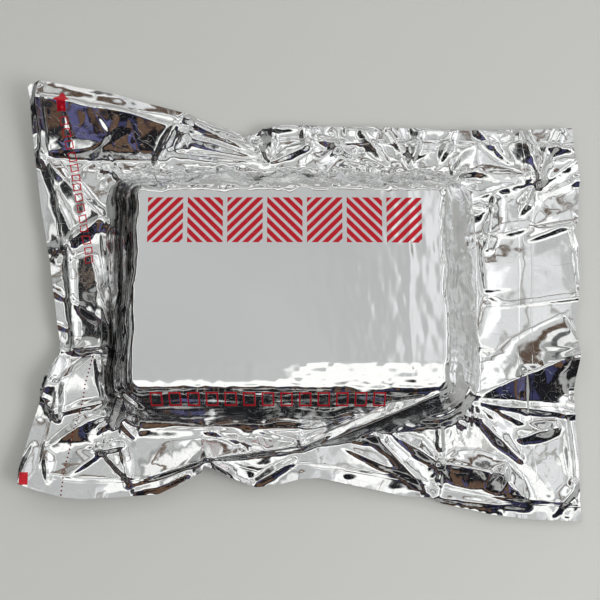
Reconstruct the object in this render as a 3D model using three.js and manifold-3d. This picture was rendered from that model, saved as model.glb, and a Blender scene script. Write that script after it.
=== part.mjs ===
// A folded fleece blanket, pressed flat and sealed under vacuum in a pouch of foil film.
// The blanket lies folded back and forth in the middle. One film is drawn down over it and one is drawn up
// under it, and past the blanket the two lie against each other as a crumpled flange with a heat-sealed rim.
// Millimetres, +Z up, origin on the floor under the middle of the pouch. +X is the long way, +Y the far side.
import * as THREE from "three";
import { mergeVertices } from "three/addons/utils/BufferGeometryUtils.js";
import Module from "manifold-3d";

const wasm = await Module();
wasm.setup();

// Driving dimensions
const packHeight = 65;
const sheet = 1;
const seat = 0.3;

// The folded blanket: 350 by 250 at its widest, a 1400 by 2000 blanket folded in four and then in eight.
const blanket = {
  centre: [-15, 2],
  halfWidth: 175,
  halfDepth: 125,
  layers: 8,
  slot: 0.5,
  foldWall: 7.5,
  mouthDepth: 5,
  mouthHeight: 4,
  filmClearance: 3,
  ringShares: [0, 0.08, 0.18, 0.35, 0.58, 0.72, 0.84, 0.93, 0.98, 1],
};

// The pressed face on top, and how far the films run from there to the flange.
const face = { halfWidth: 153, halfDepth: 100, cornerRadius: 6 };
const topRun = 37;
const footInset = 13;
const rootHeight = 19;
const lowestFlange = 4.5;
const mostSteep = 2.2;
const wallRings = [37, 31, 25, 19, 13, 7, 0];

// The flange takes up its rim's height over the first distance. Folds start inside its root and are whole
// after the second, and the pressed bands keep the last share of them.
const flange = { rimReach: 60, foldStart: -8, foldWhole: 6, bandShare: 0.35 };

// Spacing of the points that the films are built on.
const spacing = {
  outline: 14,
  root: 15,
  cornerSteps: 5,
  fold: 16,
  background: 26,
  clear: 7,
  backgroundClear: 14,
  border: 7,
};

// The rim of the pouch, side by side and clockwise, with a row for each point where it turns or rises.
// A sealed side has a pressed band of this width along it. The right-hand end is the open end.
const rim = [
  {
    side: "far",
    band: 16,
    points: [
      { at: [-285, 230], height: 34 },
      { at: [-208, 216], height: 30 },
      { at: [-165, 205], height: 26 },
      { at: [-121, 195], height: 24 },
      { at: [-81, 182], height: 20 },
      { at: [-66, 176], height: 14 },
      { at: [-56, 176], height: 11 },
      { at: [-45, 183], height: 14 },
      { at: [-37, 187], height: 18 },
      { at: [-14, 187], height: 20 },
      { at: [77, 186], height: 15 },
      { at: [180, 181], height: 18 },
    ],
  },
  {
    side: "right",
    band: 0,
    points: [
      { at: [289, 186], height: 12 },
      { at: [289, 161], height: 14 },
      { at: [295, 132], height: 9 },
      { at: [290, 82], height: 12 },
      { at: [283, 71], height: 14 },
      { at: [290, 51], height: 9 },
      { at: [287, 2], height: 9 },
      { at: [282, -38], height: 8 },
      { at: [279, -67], height: 16 },
      { at: [278, -112], height: 9 },
      { at: [280, -157], height: 8 },
    ],
  },
  {
    side: "near",
    band: 16,
    points: [
      { at: [281, -230], height: 6 },
      { at: [229, -228], height: 7 },
      { at: [189, -223], height: 10 },
      { at: [140, -212], height: 8 },
      { at: [129, -206], height: 13 },
      { at: [104, -205], height: 9 },
      { at: [59, -196], height: 14 },
      { at: [15, -187], height: 22 },
      { at: [-4, -188], height: 24 },
      { at: [-28, -194], height: 18 },
      { at: [-49, -196], height: 14 },
      { at: [-74, -187], height: 22 },
      { at: [-91, -178], height: 30 },
      { at: [-102, -175], height: 32 },
      { at: [-123, -192], height: 22 },
      { at: [-147, -203], height: 17 },
      { at: [-187, -206], height: 20 },
      { at: [-223, -208], height: 24 },
      { at: [-244, -206], height: 26 },
      { at: [-267, -200], height: 28 },
    ],
  },
  {
    side: "left",
    band: 17,
    points: [
      { at: [-287, -193], height: 30 },
      { at: [-287, -179], height: 28 },
      { at: [-282, -158], height: 24 },
      { at: [-275, -128], height: 20 },
      { at: [-269, -108], height: 22 },
      { at: [-269, -98], height: 24 },
      { at: [-265, -84], height: 22 },
      { at: [-252, -59], height: 15 },
      { at: [-253, -48], height: 13 },
      { at: [-257, -23], height: 18 },
      { at: [-261, 7], height: 20 },
      { at: [-270, 53], height: 16 },
      { at: [-278, 95], height: 18 },
      { at: [-287, 157], height: 20 },
      { at: [-293, 215], height: 28 },
      { at: [-295, 227], height: 33 },
    ],
  },
];

// The main folds of the flange, each a straight ridge (rise above 0) or valley (below 0) with sloping sides.
const folds = [
  // Far left corner
  { name: "cornerPocket", from: [-274, 187], to: [-150, 170], rise: -12, halfWidth: 20 },
  { name: "cornerPleat", from: [-275, 150], to: [-203, 78], rise: 16, halfWidth: 10 },
  { name: "underPleat", from: [-263, 128], to: [-232, 78], rise: -8, halfWidth: 12 },
  { name: "cornerDome", from: [-218, 112], to: [-197, 133], rise: 9, halfWidth: 14 },
  { name: "cornerTuck", from: [-158, 147], to: [-128, 181], rise: -10, halfWidth: 9 },
  // Far side
  { name: "longFold", from: [-122, 186], to: [-45, 149], rise: 8, halfWidth: 9 },
  { name: "tuckLeft", from: [-138, 152], to: [-49, 146], rise: -6, halfWidth: 7 },
  { name: "pucker", from: [-39, 144], to: [-47, 173], rise: -9, halfWidth: 9 },
  { name: "tuckRight", from: [-26, 148], to: [15, 161], rise: -7, halfWidth: 8 },
  { name: "shoulder", from: [15, 169], to: [122, 107], rise: 8, halfWidth: 10 },
  { name: "wedge", from: [44, 161], to: [73, 148], rise: -7, halfWidth: 7 },
  { name: "knot", from: [102, 142], to: [149, 114], rise: 6, halfWidth: 9 },
  // Far right corner
  { name: "upperFan", from: [143, 108], to: [241, 127], rise: 10, halfWidth: 14 },
  { name: "upperDip", from: [225, 171], to: [243, 128], rise: -11, halfWidth: 10 },
  { name: "starUp", from: [259, 158], to: [247, 119], rise: 8, halfWidth: 7 },
  { name: "starRight", from: [249, 118], to: [291, 134], rise: 7, halfWidth: 9 },
  { name: "starDown", from: [245, 114], to: [237, 60], rise: 5, halfWidth: 8 },
  { name: "sidePocket", from: [154, 71], to: [192, 99], rise: -8, halfWidth: 10 },
  { name: "finger", from: [188, 46], to: [208, 96], rise: 9, halfWidth: 9 },
  { name: "sideDip", from: [212, 61], to: [244, 89], rise: -5, halfWidth: 7 },
  // Right-hand end
  { name: "panelCrease", from: [191, -10], to: [284, -1], rise: -3, halfWidth: 4 },
  { name: "pocketTop", from: [173, -103], to: [275, -66], rise: 13, halfWidth: 14 },
  { name: "pocket", from: [187, -107], to: [277, -93], rise: -12, halfWidth: 14 },
  { name: "pocketSill", from: [219, -125], to: [274, -116], rise: 7, halfWidth: 9 },
  // Near right corner
  { name: "cornerFan", from: [150, -117], to: [256, -201], rise: 10, halfWidth: 14 },
  { name: "fanCrease", from: [170, -130], to: [213, -163], rise: -7, halfWidth: 6 },
  { name: "lens", from: [138, -178], to: [222, -213], rise: -12, halfWidth: 13 },
  { name: "lensLip", from: [133, -203], to: [196, -215], rise: 5, halfWidth: 7 },
  { name: "spike", from: [69, -142], to: [127, -203], rise: -10, halfWidth: 8 },
  { name: "smallLens", from: [93, -150], to: [137, -171], rise: 8, halfWidth: 7 },
  // Near side, with the long diagonal fold
  { name: "diagonalLow", from: [-165, -195], to: [-99, -171], rise: 9, halfWidth: 8 },
  { name: "diagonalMid", from: [-99, -171], to: [-4, -157], rise: 10, halfWidth: 9 },
  { name: "diagonalHigh", from: [-4, -157], to: [130, -99], rise: 15, halfWidth: 10 },
  { name: "gutter", from: [-157, -144], to: [26, -140], rise: -4, halfWidth: 8 },
  { name: "rimDip", from: [-73, -171], to: [-43, -191], rise: -6, halfWidth: 9 },
  // Near left corner
  { name: "fanRidge", from: [-245, -149], to: [-198, -121], rise: 8, halfWidth: 8 },
  { name: "fanValley", from: [-251, -120], to: [-206, -109], rise: -8, halfWidth: 8 },
  { name: "fanValleyLow", from: [-251, -169], to: [-203, -134], rise: -7, halfWidth: 8 },
  { name: "flapDip", from: [-208, -160], to: [-180, -191], rise: -6, halfWidth: 7 },
  { name: "flapEdge", from: [-186, -157], to: [-178, -191], rise: 6, halfWidth: 6 },
  // Left-hand end
  { name: "bulgeRidge", from: [-252, -93], to: [-218, -69], rise: 9, halfWidth: 10 },
  { name: "sideTrough", from: [-243, 45], to: [-215, -42], rise: -12, halfWidth: 10 },
  { name: "sideBand", from: [-217, 60], to: [-202, -46], rise: 6, halfWidth: 6 },
  { name: "sideFold", from: [-251, 48], to: [-221, 81], rise: 10, halfWidth: 9 },
  { name: "notch", from: [-251, -56], to: [-205, -56], rise: -6, halfWidth: 8 },
];

const foilColour = 0xd4d6d8;
const fleeceColour = 0x8d8f94;

// Worked out from the driving dimensions
const blanketBottom = sheet + seat;
const blanketTop = packHeight - sheet - seat;
const rimRows = rim.flatMap((part) => part.points);
const rimPoints = rimRows.map((row) => row.at);

// Small helpers for plan geometry
const mix = (a, b, t) => a + (b - a) * t;
const clamp = (value, low, high) => Math.min(high, Math.max(low, value));
const smooth = (t) => clamp(t, 0, 1) ** 2 * (3 - 2 * clamp(t, 0, 1));

function segmentDistance([x, y], [ax, ay], [bx, by]) {
  const along = ((x - ax) * (bx - ax) + (y - ay) * (by - ay)) / ((bx - ax) ** 2 + (by - ay) ** 2);
  const t = clamp(along, 0, 1);
  return Math.hypot(x - mix(ax, bx, t), y - mix(ay, by, t));
}

function inside([x, y], polygon) {
  let odd = false;
  for (let i = 0, j = polygon.length - 1; i < polygon.length; j = i++) {
    const [ax, ay] = polygon[i];
    const [bx, by] = polygon[j];
    if (ay > y !== by > y && x < ax + ((bx - ax) * (y - ay)) / (by - ay)) odd = !odd;
  }
  return odd;
}

// How far a point lies outside the pressed face, seen from above. It is 0 on the face.
function outsideFace([x, y]) {
  const dx = Math.abs(x - blanket.centre[0]) - face.halfWidth + face.cornerRadius;
  const dy = Math.abs(y - blanket.centre[1]) - face.halfDepth + face.cornerRadius;
  return Math.max(0, Math.hypot(Math.max(dx, 0), Math.max(dy, 0)) - face.cornerRadius);
}

// From 1 on the flat to 0 at the end of the run, as the film falls away.
const wallShape = (distance, run) => (1 + Math.cos(Math.PI * clamp(distance / run, 0, 1))) / 2;
const wallDistance = (shape, run) => (run / Math.PI) * Math.acos(clamp(2 * shape - 1, -1, 1));

// The rim's height spread inwards: each point takes most from the rim rows nearest to it.
function rimHeight([x, y]) {
  let sum = 0;
  let weights = 0;
  for (const row of rimRows) {
    const weight = 1 / Math.hypot(x - row.at[0], y - row.at[1], 8) ** 4;
    sum += weight * row.height;
    weights += weight;
  }
  return sum / weights;
}

// Folds fade in the sealed bands, which are pressed flat.
function bandFade(point) {
  let fade = 1;
  rim.forEach((part, i) => {
    if (!part.band) return;
    const run = [...part.points, rim[(i + 1) % rim.length].points[0]].map((row) => row.at);
    for (let k = 0; k + 1 < run.length; k++) {
      const share = smooth(segmentDistance(point, run[k], run[k + 1]) / part.band);
      fade = Math.min(fade, mix(flange.bandShare, 1, share));
    }
  });
  return fade;
}

function foldHeight(point) {
  return folds.reduce((height, fold) => {
    const away = segmentDistance(point, fold.from, fold.to) / fold.halfWidth;
    return height + fold.rise * Math.max(0, 1 - away);
  }, 0);
}

function flangeHeight(point) {
  const past = outsideFace(point) - topRun;
  const base = mix(rootHeight, rimHeight(point), smooth(past / flange.rimReach));
  const whole = smooth((past - flange.foldStart) / (flange.foldWhole - flange.foldStart));
  return Math.max(lowestFlange, base + foldHeight(point) * whole * bandFade(point));
}

// Where the two films' inner faces lie before the small gap between them. They are one in the flange.
function upperHeight(point) {
  return mix(flangeHeight(point), packHeight - sheet, wallShape(outsideFace(point), topRun));
}

function lowerHeight(point) {
  return mix(flangeHeight(point), sheet, wallShape(outsideFace(point) - footInset, topRun - footInset));
}

// How much taller than wide a sheet's cut is where it slopes, so that it keeps its thickness
function steepness([x, y], height) {
  const step = 1.5;
  const dx = height([x + step, y]) - height([x - step, y]);
  const dy = height([x, y + step]) - height([x, y - step]);
  return Math.min(mostSteep, Math.hypot(1, dx / (2 * step), dy / (2 * step)));
}

// The upper film lies on the blanket's flat top and half the gap above the flange's own height.
function upperFilm(point) {
  if (outsideFace(point) === 0) return { top: packHeight, bottom: packHeight - sheet };
  const steep = steepness(point, upperHeight);
  const bottom = upperHeight(point) + (seat / 2) * steep;
  return { top: bottom + sheet * steep, bottom };
}

// The lower film is flat on the floor under the blanket and half the gap below the flange's own height.
function lowerFilm(point) {
  if (outsideFace(point) <= footInset) return { top: sheet, bottom: 0 };
  const steep = steepness(point, lowerHeight);
  const top = lowerHeight(point) - (seat / 2) * steep;
  return { top, bottom: Math.max(0, top - sheet * steep) };
}

// The plan that both films are built on, seen from above.
// A ring round the pressed face at some distance from it. Every ring has the same number of points.
function ring(offset, cornerSteps, alongStep) {
  const { halfWidth, halfDepth, cornerRadius } = face;
  const corners = [
    [1, 1],
    [-1, 1],
    [-1, -1],
    [1, -1],
  ].map(([sx, sy]) => [
    blanket.centre[0] + sx * (halfWidth - cornerRadius),
    blanket.centre[1] + sy * (halfDepth - cornerRadius),
  ]);
  const radius = cornerRadius + offset;
  const arcPoint = ([x, y], angle) => [x + radius * Math.cos(angle), y + radius * Math.sin(angle)];
  return corners.flatMap((corner, quarter) => {
    const next = corners[(quarter + 1) % 4];
    const end = ((quarter + 1) * Math.PI) / 2;
    const side = Math.hypot(next[0] - corner[0], next[1] - corner[1]);
    const alongCount = Math.max(1, Math.round(side / alongStep));
    const arc = Array.from({ length: cornerSteps }, (_, k) =>
      arcPoint(corner, (quarter + k / cornerSteps) * (Math.PI / 2)),
    );
    const straight = Array.from({ length: alongCount }, (_, k) =>
      arcPoint([mix(corner[0], next[0], k / alongCount), mix(corner[1], next[1], k / alongCount)], end),
    );
    return [...arc, ...straight];
  });
}

function divided(points, step, closed) {
  const made = [];
  const last = closed ? points.length : points.length - 1;
  for (let i = 0; i < last; i++) {
    const a = points[i];
    const b = points[(i + 1) % points.length];
    const count = Math.max(1, Math.round(Math.hypot(b[0] - a[0], b[1] - a[1]) / step));
    for (let k = 0; k < count; k++) made.push([mix(a[0], b[0], k / count), mix(a[1], b[1], k / count)]);
  }
  if (!closed) made.push(points[points.length - 1]);
  return made;
}

function foldPoints(fold) {
  const crest = divided([fold.from, fold.to], spacing.fold, false);
  const length = Math.hypot(fold.to[0] - fold.from[0], fold.to[1] - fold.from[1]);
  const across = [(fold.from[1] - fold.to[1]) / length, (fold.to[0] - fold.from[0]) / length];
  const feet = crest.flatMap(([x, y]) =>
    [1, -1].map((s) => [x + s * fold.halfWidth * across[0], y + s * fold.halfWidth * across[1]]),
  );
  return { crest, feet };
}

function gridPoints(step, wanted) {
  const found = [];
  for (let row = -12; row * step < 240; row++)
    for (let column = -14; column * step < 300; column++) {
      const point = [(column + (row % 2 ? 0.5 : 0)) * step, row * step * 0.9];
      if (wanted(point)) found.push(point);
    }
  return found;
}

// The flange's own points: the outline, the root ring where it meets the wall, and the folds
function flangePlan(root) {
  const outline = divided(rimPoints, spacing.outline, true);
  const borders = [outline, root];
  const points = borders.flat();
  const fits = (point, clear) =>
    inside(point, outline) &&
    !inside(point, root) &&
    borders.every((border) =>
      border.every((a, i) => segmentDistance(point, a, border[(i + 1) % border.length]) > spacing.border),
    ) &&
    points.every(([x, y]) => Math.hypot(point[0] - x, point[1] - y) >= clear);
  const all = folds.map(foldPoints);
  for (const point of [...all.flatMap((fold) => fold.crest), ...all.flatMap((fold) => fold.feet)])
    if (fits(point, spacing.clear)) points.push(point);
  for (const point of gridPoints(spacing.background, (point) => outsideFace(point) > topRun))
    if (fits(point, spacing.backgroundClear)) points.push(point);
  return { outline, root, points };
}

// The edges that only one of the triangles has, each in that triangle's direction
function borderEdges(triangles) {
  const edges = new Map();
  for (const [a, b, c] of triangles)
    for (const edge of [
      [a, b],
      [b, c],
      [c, a],
    ])
      if (!edges.delete(`${edge[1]},${edge[0]}`)) edges.set(`${edge[0]},${edge[1]}`, edge);
  return [...edges.values()];
}

// Delaunay triangles over the points, kept where they lie between the root ring and the outline.
// The points are nudged by a hundredth of a millimetre for the test alone, so that no four share a circle.
function triangulate({ outline, root, points }) {
  const nudged = points.map(([x, y], i) => [x + 0.01 * Math.sin(i * 12.9), y + 0.01 * Math.cos(i * 78.2)]);
  const far = 5000;
  const count = points.length;
  nudged.push([-far, -far], [far, -far], [0, far]);
  const circle = (a, b, c) => {
    const [ax, ay] = nudged[a];
    const bx = nudged[b][0] - ax;
    const by = nudged[b][1] - ay;
    const cx = nudged[c][0] - ax;
    const cy = nudged[c][1] - ay;
    const twice = 2 * (bx * cy - by * cx);
    const ux = (cy * (bx * bx + by * by) - by * (cx * cx + cy * cy)) / twice;
    const uy = (bx * (cx * cx + cy * cy) - cx * (bx * bx + by * by)) / twice;
    return { corners: [a, b, c], x: ax + ux, y: ay + uy, square: ux * ux + uy * uy };
  };
  let triangles = [circle(count, count + 1, count + 2)];
  for (let p = 0; p < count; p++) {
    const [x, y] = nudged[p];
    const around = ({ x: cx, y: cy, square }) => (x - cx) ** 2 + (y - cy) ** 2 < square;
    const hole = triangles.filter(around).map((triangle) => triangle.corners);
    triangles = triangles.filter((triangle) => !around(triangle));
    for (const [from, to] of borderEdges(hole)) triangles.push(circle(from, to, p));
  }
  return triangles
    .map((triangle) => triangle.corners)
    .filter((corners) => {
      if (corners.some((corner) => corner >= count)) return false;
      const middle = [0, 1].map((axis) => corners.reduce((sum, corner) => sum + points[corner][axis] / 3, 0));
      return inside(middle, outline) && !inside(middle, root);
    });
}

// The whole plan: the flange, then the wall as strips from ring to ring, then the pressed face
function filmPlan() {
  const rings = wallRings.map((offset) => ring(offset, spacing.cornerSteps, spacing.root));
  const root = rings[0];
  const outside = flangePlan(root);
  const points = [...outside.points, ...rings.slice(1).flat(), blanket.centre];
  const triangles = triangulate(outside);
  const size = root.length;
  const firstOf = (i) => (i === 0 ? outside.outline.length : outside.points.length + (i - 1) * size);
  const at = (i, k) => firstOf(i) + (k % size);
  for (let i = 0; i + 1 < rings.length; i++)
    for (let k = 0; k < size; k++) {
      triangles.push([at(i, k), at(i, k + 1), at(i + 1, k + 1)]);
      triangles.push([at(i, k), at(i + 1, k + 1), at(i + 1, k)]);
    }
  for (let k = 0; k < size; k++)
    triangles.push([at(rings.length - 1, k), at(rings.length - 1, k + 1), points.length - 1]);
  return { points, triangles };
}

function indexedGeometry(positions, index) {
  return new THREE.BufferGeometry()
    .setAttribute("position", new THREE.Float32BufferAttribute(positions.flat(), 3))
    .setIndex(index);
}

// A film over the plan, closed round its edge. The film gives its top and bottom height at a point.
function sheetGeometry({ points, triangles }, film) {
  const count = points.length;
  const heights = points.map(film);
  const tops = points.map(([x, y], i) => [x, y, heights[i].top]);
  const bottoms = points.map(([x, y], i) => [x, y, heights[i].bottom]);
  const index = triangles.flatMap(([a, b, c]) => [a, b, c, count + a, count + c, count + b]);
  for (const [from, to] of borderEdges(triangles))
    index.push(from, count + from, to, to, count + from, count + to);
  return indexedGeometry([...tops, ...bottoms], index);
}

// How far outside the pressed face the blanket reaches at some height, clear of both films' walls
function blanketOffset(height) {
  const upperShape = (height + seat - rootHeight) / (packHeight - sheet - rootHeight);
  const lowerShape = (rootHeight - height + seat) / (rootHeight - sheet);
  const underTop = wallDistance(upperShape, topRun) - blanket.filmClearance;
  const overFoot = footInset + wallDistance(lowerShape, topRun - footInset) - blanket.filmClearance;
  return Math.min(underTop, overFoot, blanket.halfWidth - face.halfWidth);
}

// The blanket's outside, as rings from its foot to its top
function stackGeometry() {
  const rings = blanket.ringShares.map((share) => {
    const z = mix(blanketBottom, blanketTop, share);
    return ring(blanketOffset(z), spacing.cornerSteps, 2 * face.halfWidth).map(([x, y]) => [x, y, z]);
  });
  const size = rings[0].length;
  const index = [];
  for (let i = 0; i + 1 < rings.length; i++)
    for (let k = 0; k < size; k++) {
      const a = i * size + k;
      const b = i * size + ((k + 1) % size);
      index.push(a, b, b + size, a, b + size, a + size);
    }
  const last = (rings.length - 1) * size;
  for (let k = 1; k + 1 < size; k++) index.push(0, k + 1, k, last, last + k, last + k + 1);
  return indexedGeometry(rings.flat(), index);
}

// manifold-3d joins and cuts: to its solid, and back
function solid(geometry) {
  const bare = geometry.index ? geometry.toNonIndexed() : geometry.clone();
  bare.deleteAttribute("normal");
  bare.deleteAttribute("uv");
  const merged = mergeVertices(bare, 1e-4);
  return new wasm.Manifold(
    new wasm.Mesh({
      numProp: 3,
      vertProperties: merged.attributes.position.array,
      triVerts: new Uint32Array(merged.index.array),
    }),
  );
}

function geometryOf(manifold) {
  const mesh = manifold.getMesh();
  return new THREE.BufferGeometry()
    .setAttribute("position", new THREE.BufferAttribute(new Float32Array(mesh.vertProperties), 3))
    .setIndex(new THREE.BufferAttribute(new Uint32Array(mesh.triVerts), 1));
}

// One slot between two layers. It stops short of the fold that joins them, and flares at its open side,
// so that each fold is a rounded bulge.
function slotGeometry(height, openSide) {
  const depth = face.halfDepth + blanketOffset(height);
  const half = blanket.slot / 2;
  const shape = new THREE.Shape();
  shape.moveTo(-(depth - blanket.foldWall), -half);
  shape.lineTo(depth - blanket.mouthDepth, -half);
  shape.lineTo(depth + blanket.mouthDepth, -blanket.mouthHeight);
  shape.lineTo(depth + blanket.mouthDepth, blanket.mouthHeight);
  shape.lineTo(depth - blanket.mouthDepth, half);
  shape.lineTo(-(depth - blanket.foldWall), half);
  const length = 2 * (blanket.halfWidth + 10);
  // The section stands in the YZ plane and runs along X.
  return new THREE.ExtrudeGeometry(shape, { depth: length, bevelEnabled: false, steps: 1 })
    .translate(0, 0, -length / 2)
    .rotateZ(Math.PI / 2)
    .rotateY(Math.PI / 2)
    .rotateZ(openSide > 0 ? 0 : Math.PI)
    .translate(blanket.centre[0], blanket.centre[1], height);
}

function blanketGeometry() {
  const pitch = (blanketTop - blanketBottom) / blanket.layers;
  let stack = solid(stackGeometry());
  for (let k = 1; k < blanket.layers; k++)
    stack = stack.subtract(solid(slotGeometry(blanketBottom + k * pitch, k % 2 ? 1 : -1)));
  return geometryOf(stack);
}

function foil() {
  return new THREE.MeshStandardMaterial({ color: foilColour, roughness: 0.18, metalness: 1 });
}

function fleece() {
  return new THREE.MeshStandardMaterial({ color: fleeceColour, roughness: 0.95, metalness: 0 });
}

const plan = filmPlan();

const frontFilm = new THREE.Mesh(sheetGeometry(plan, upperFilm), foil());
frontFilm.name = "front_film";

const backFilm = new THREE.Mesh(sheetGeometry(plan, lowerFilm), foil());
backFilm.name = "back_film";

const foldedBlanket = new THREE.Mesh(blanketGeometry(), fleece());
foldedBlanket.name = "blanket";

const pack = new THREE.Group();
pack.add(frontFilm, backFilm, foldedBlanket);

export default pack;
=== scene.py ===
import math

import bpy
import numpy as np
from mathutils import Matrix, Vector
from mathutils.bvhtree import BVHTree
from mathutils.geometry import delaunay_2d_cdt


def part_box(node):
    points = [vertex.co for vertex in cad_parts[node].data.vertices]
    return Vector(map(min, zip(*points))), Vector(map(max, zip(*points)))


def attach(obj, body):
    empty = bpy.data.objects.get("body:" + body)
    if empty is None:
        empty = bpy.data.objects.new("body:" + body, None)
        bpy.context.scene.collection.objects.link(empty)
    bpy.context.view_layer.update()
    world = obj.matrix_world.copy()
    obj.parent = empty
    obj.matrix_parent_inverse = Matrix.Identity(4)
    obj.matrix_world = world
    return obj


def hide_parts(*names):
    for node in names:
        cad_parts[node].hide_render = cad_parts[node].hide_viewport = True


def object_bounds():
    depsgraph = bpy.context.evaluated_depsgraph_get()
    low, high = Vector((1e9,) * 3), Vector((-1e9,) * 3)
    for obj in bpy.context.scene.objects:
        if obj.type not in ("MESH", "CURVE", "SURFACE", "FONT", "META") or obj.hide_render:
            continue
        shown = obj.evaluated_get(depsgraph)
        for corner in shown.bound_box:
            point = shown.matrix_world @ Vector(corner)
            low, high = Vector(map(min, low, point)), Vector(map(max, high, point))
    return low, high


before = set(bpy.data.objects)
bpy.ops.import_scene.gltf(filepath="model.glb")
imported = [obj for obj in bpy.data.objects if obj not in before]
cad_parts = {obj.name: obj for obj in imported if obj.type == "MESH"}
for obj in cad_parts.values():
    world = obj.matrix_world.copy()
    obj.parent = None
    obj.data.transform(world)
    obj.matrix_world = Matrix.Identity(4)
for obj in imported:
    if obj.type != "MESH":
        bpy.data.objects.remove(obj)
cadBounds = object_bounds()
scene = bpy.context.scene

print("stage: frame loaded")


# Where the photograph was taken from; its frame is 600 by 600 pixels
view = {
    "target": (-0.00437, -0.00375, 0.020),
    "distance": 1.2,
    "elevation": 79,  # degrees
    "frame": 600,
    "pixel": 0.00104,  # metres at the target
}


# The way back to the camera and the way up in the picture; the way right is +X
def viewAxes():
    angle = math.radians(view["elevation"])
    return np.array([0, -math.cos(angle), math.sin(angle)]), np.array([0, math.sin(angle), math.cos(angle)])


def makeCamera():
    back, _ = viewAxes()
    data = bpy.data.cameras.new("camera")
    data.sensor_width = 36
    data.lens = 36 * view["distance"] / (view["frame"] * view["pixel"])
    camera = bpy.data.objects.new("camera", data)
    camera.location = Vector(view["target"]) + view["distance"] * Vector(back)
    camera.rotation_euler = Vector(back).to_track_quat("Z", "Y").to_euler()
    scene.collection.objects.link(camera)
    scene.camera = camera


# X and y of what the picture shows at a place in its frame, when it lies at height z
def onPlan(place, z):
    back, up = viewAxes()
    eye = np.array(view["target"]) + view["distance"] * back
    half = view["frame"] / 2
    across = np.array([place[0] - half, 0, 0])
    ray = -back * view["distance"] / view["pixel"] + up * (half - place[1]) + across
    return (eye + ray * (z - eye[2]) / ray[2])[:2]


makeCamera()

# The two films: one flat panel each, sealed together round the rim
film = {
    "flat": (0.606, 0.436),  # width and depth of the cut panel
    "spacing": 0.00165,  # of the finished mesh
    "coarse": 0.0100,  # of the points that lay the panel out
    "gap": 0.0004,  # between the two films in the flange
    "floor": 0.0016,  # lowest place of the front film
    "band": 0.018,  # width of the seals on the left, near and far sides
    "sealLines": (0.242, 0.256),  # the two seals across the right-hand end, from the panel's middle
    "seed": 7,
    "high": 0.2,  # above everything
    "rounds": 400,  # of laying the panel out
    "give": 0.1,  # how little it resists being pushed together
    "easing": 1500,  # rounds that ease the CAD's folds out of the flange
    "rimRows": 3,  # rows of points that keep the CAD's rim
    "soften": 0.3,  # of the finished mesh, to round its sharpest creases
}

# The blanket's block, where it presses the front film up
block = {
    "centre": (-0.015, 0.002),
    "half": (0.153, 0.100),
    "corner": 0.006,
    "run": 0.037,  # of the wall, seen from above
    "turn": 0.018,  # how far a corner counts along the wall
}


def ramp(value, low, high):
    t = np.clip((value - low) / (high - low), 0, 1)
    return t * t * (3 - 2 * t)


# How far outside the pressed face a point lies, seen from above
def pastFace(x, y):
    dx = np.abs(x - block["centre"][0]) - block["half"][0] + block["corner"]
    dy = np.abs(y - block["centre"][1]) - block["half"][1] + block["corner"]
    return np.maximum(0, np.hypot(np.maximum(dx, 0), np.maximum(dy, 0)) - block["corner"])


# How far along the block's walls a point lies, counted from the near left corner
def aroundBlock(x, y):
    dx, dy = x - block["centre"][0], y - block["centre"][1]
    w, d = block["half"]
    overX, overY = dx - np.clip(dx, -w, w), dy - np.clip(dy, -d, d)
    turn = block["turn"] * np.arctan2(np.abs(overY), np.abs(overX) + 1e-9)
    quarter = block["turn"] * math.pi / 2
    near = (dy <= -d) & (np.abs(dx) <= w)
    far = (dy >= d) & (np.abs(dx) <= w)
    left = (dx < 0) & ~near & ~far
    out = np.where(near, dx + w, 0.0)
    out = np.where(far, 2 * w + 2 * d + 2 * quarter + w - dx, out)
    right = ~left & ~near & ~far
    below, above = dy < -d, dy > d
    level = np.clip(dy + d, 0, 2 * d)
    swing = np.where(below, quarter - turn, np.where(above, quarter + turn, quarter))
    out = np.where(right, 2 * w + swing + level, out)
    swing = np.where(above, 3 * quarter - turn, np.where(below, 3 * quarter + turn, 3 * quarter))
    out = np.where(left, 4 * w + 2 * d + swing + 2 * d - level, out)
    return out


# X, y and z round the film's rim, which is where its only upright faces are
def cadRim(node):
    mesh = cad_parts[node].data
    rim = {}
    for face in mesh.polygons:
        if abs(face.normal.z) > 0.02:
            continue
        for index in face.vertices:
            x, y, z = mesh.vertices[index].co
            key = (round(x, 5), round(y, 5))
            rim[key] = max(z, rim.get(key, -1))
    points = np.array([(x, y, z) for (x, y), z in rim.items()])
    return points[np.argsort(np.arctan2(points[:, 1], points[:, 0]))]


# The rim as four lines between its corners: near and far run to +X, left and right run to +Y
def splitSides(rim):
    def corner(sx, sy):
        return int(np.argmax(sx * rim[:, 0] + sy * rim[:, 1]))

    def run(first, last):
        last += len(rim) if last < first else 0
        return rim[np.arange(first, last + 1) % len(rim)]

    nearLeft, nearRight = corner(-1, -1), corner(1, -1)
    farRight, farLeft = corner(1, 1), corner(-1, 1)
    return {
        "near": run(nearLeft, nearRight),
        "right": run(nearRight, farRight),
        "far": run(farRight, farLeft)[::-1],
        "left": run(farLeft, nearLeft)[::-1],
    }


# The point at each share of a line's length
def along(line, share):
    length = np.r_[0, np.cumsum(np.linalg.norm(np.diff(line, axis=0), axis=1))]
    return np.stack([np.interp(share * length[-1], length, line[:, k]) for k in range(3)], axis=-1)


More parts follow.
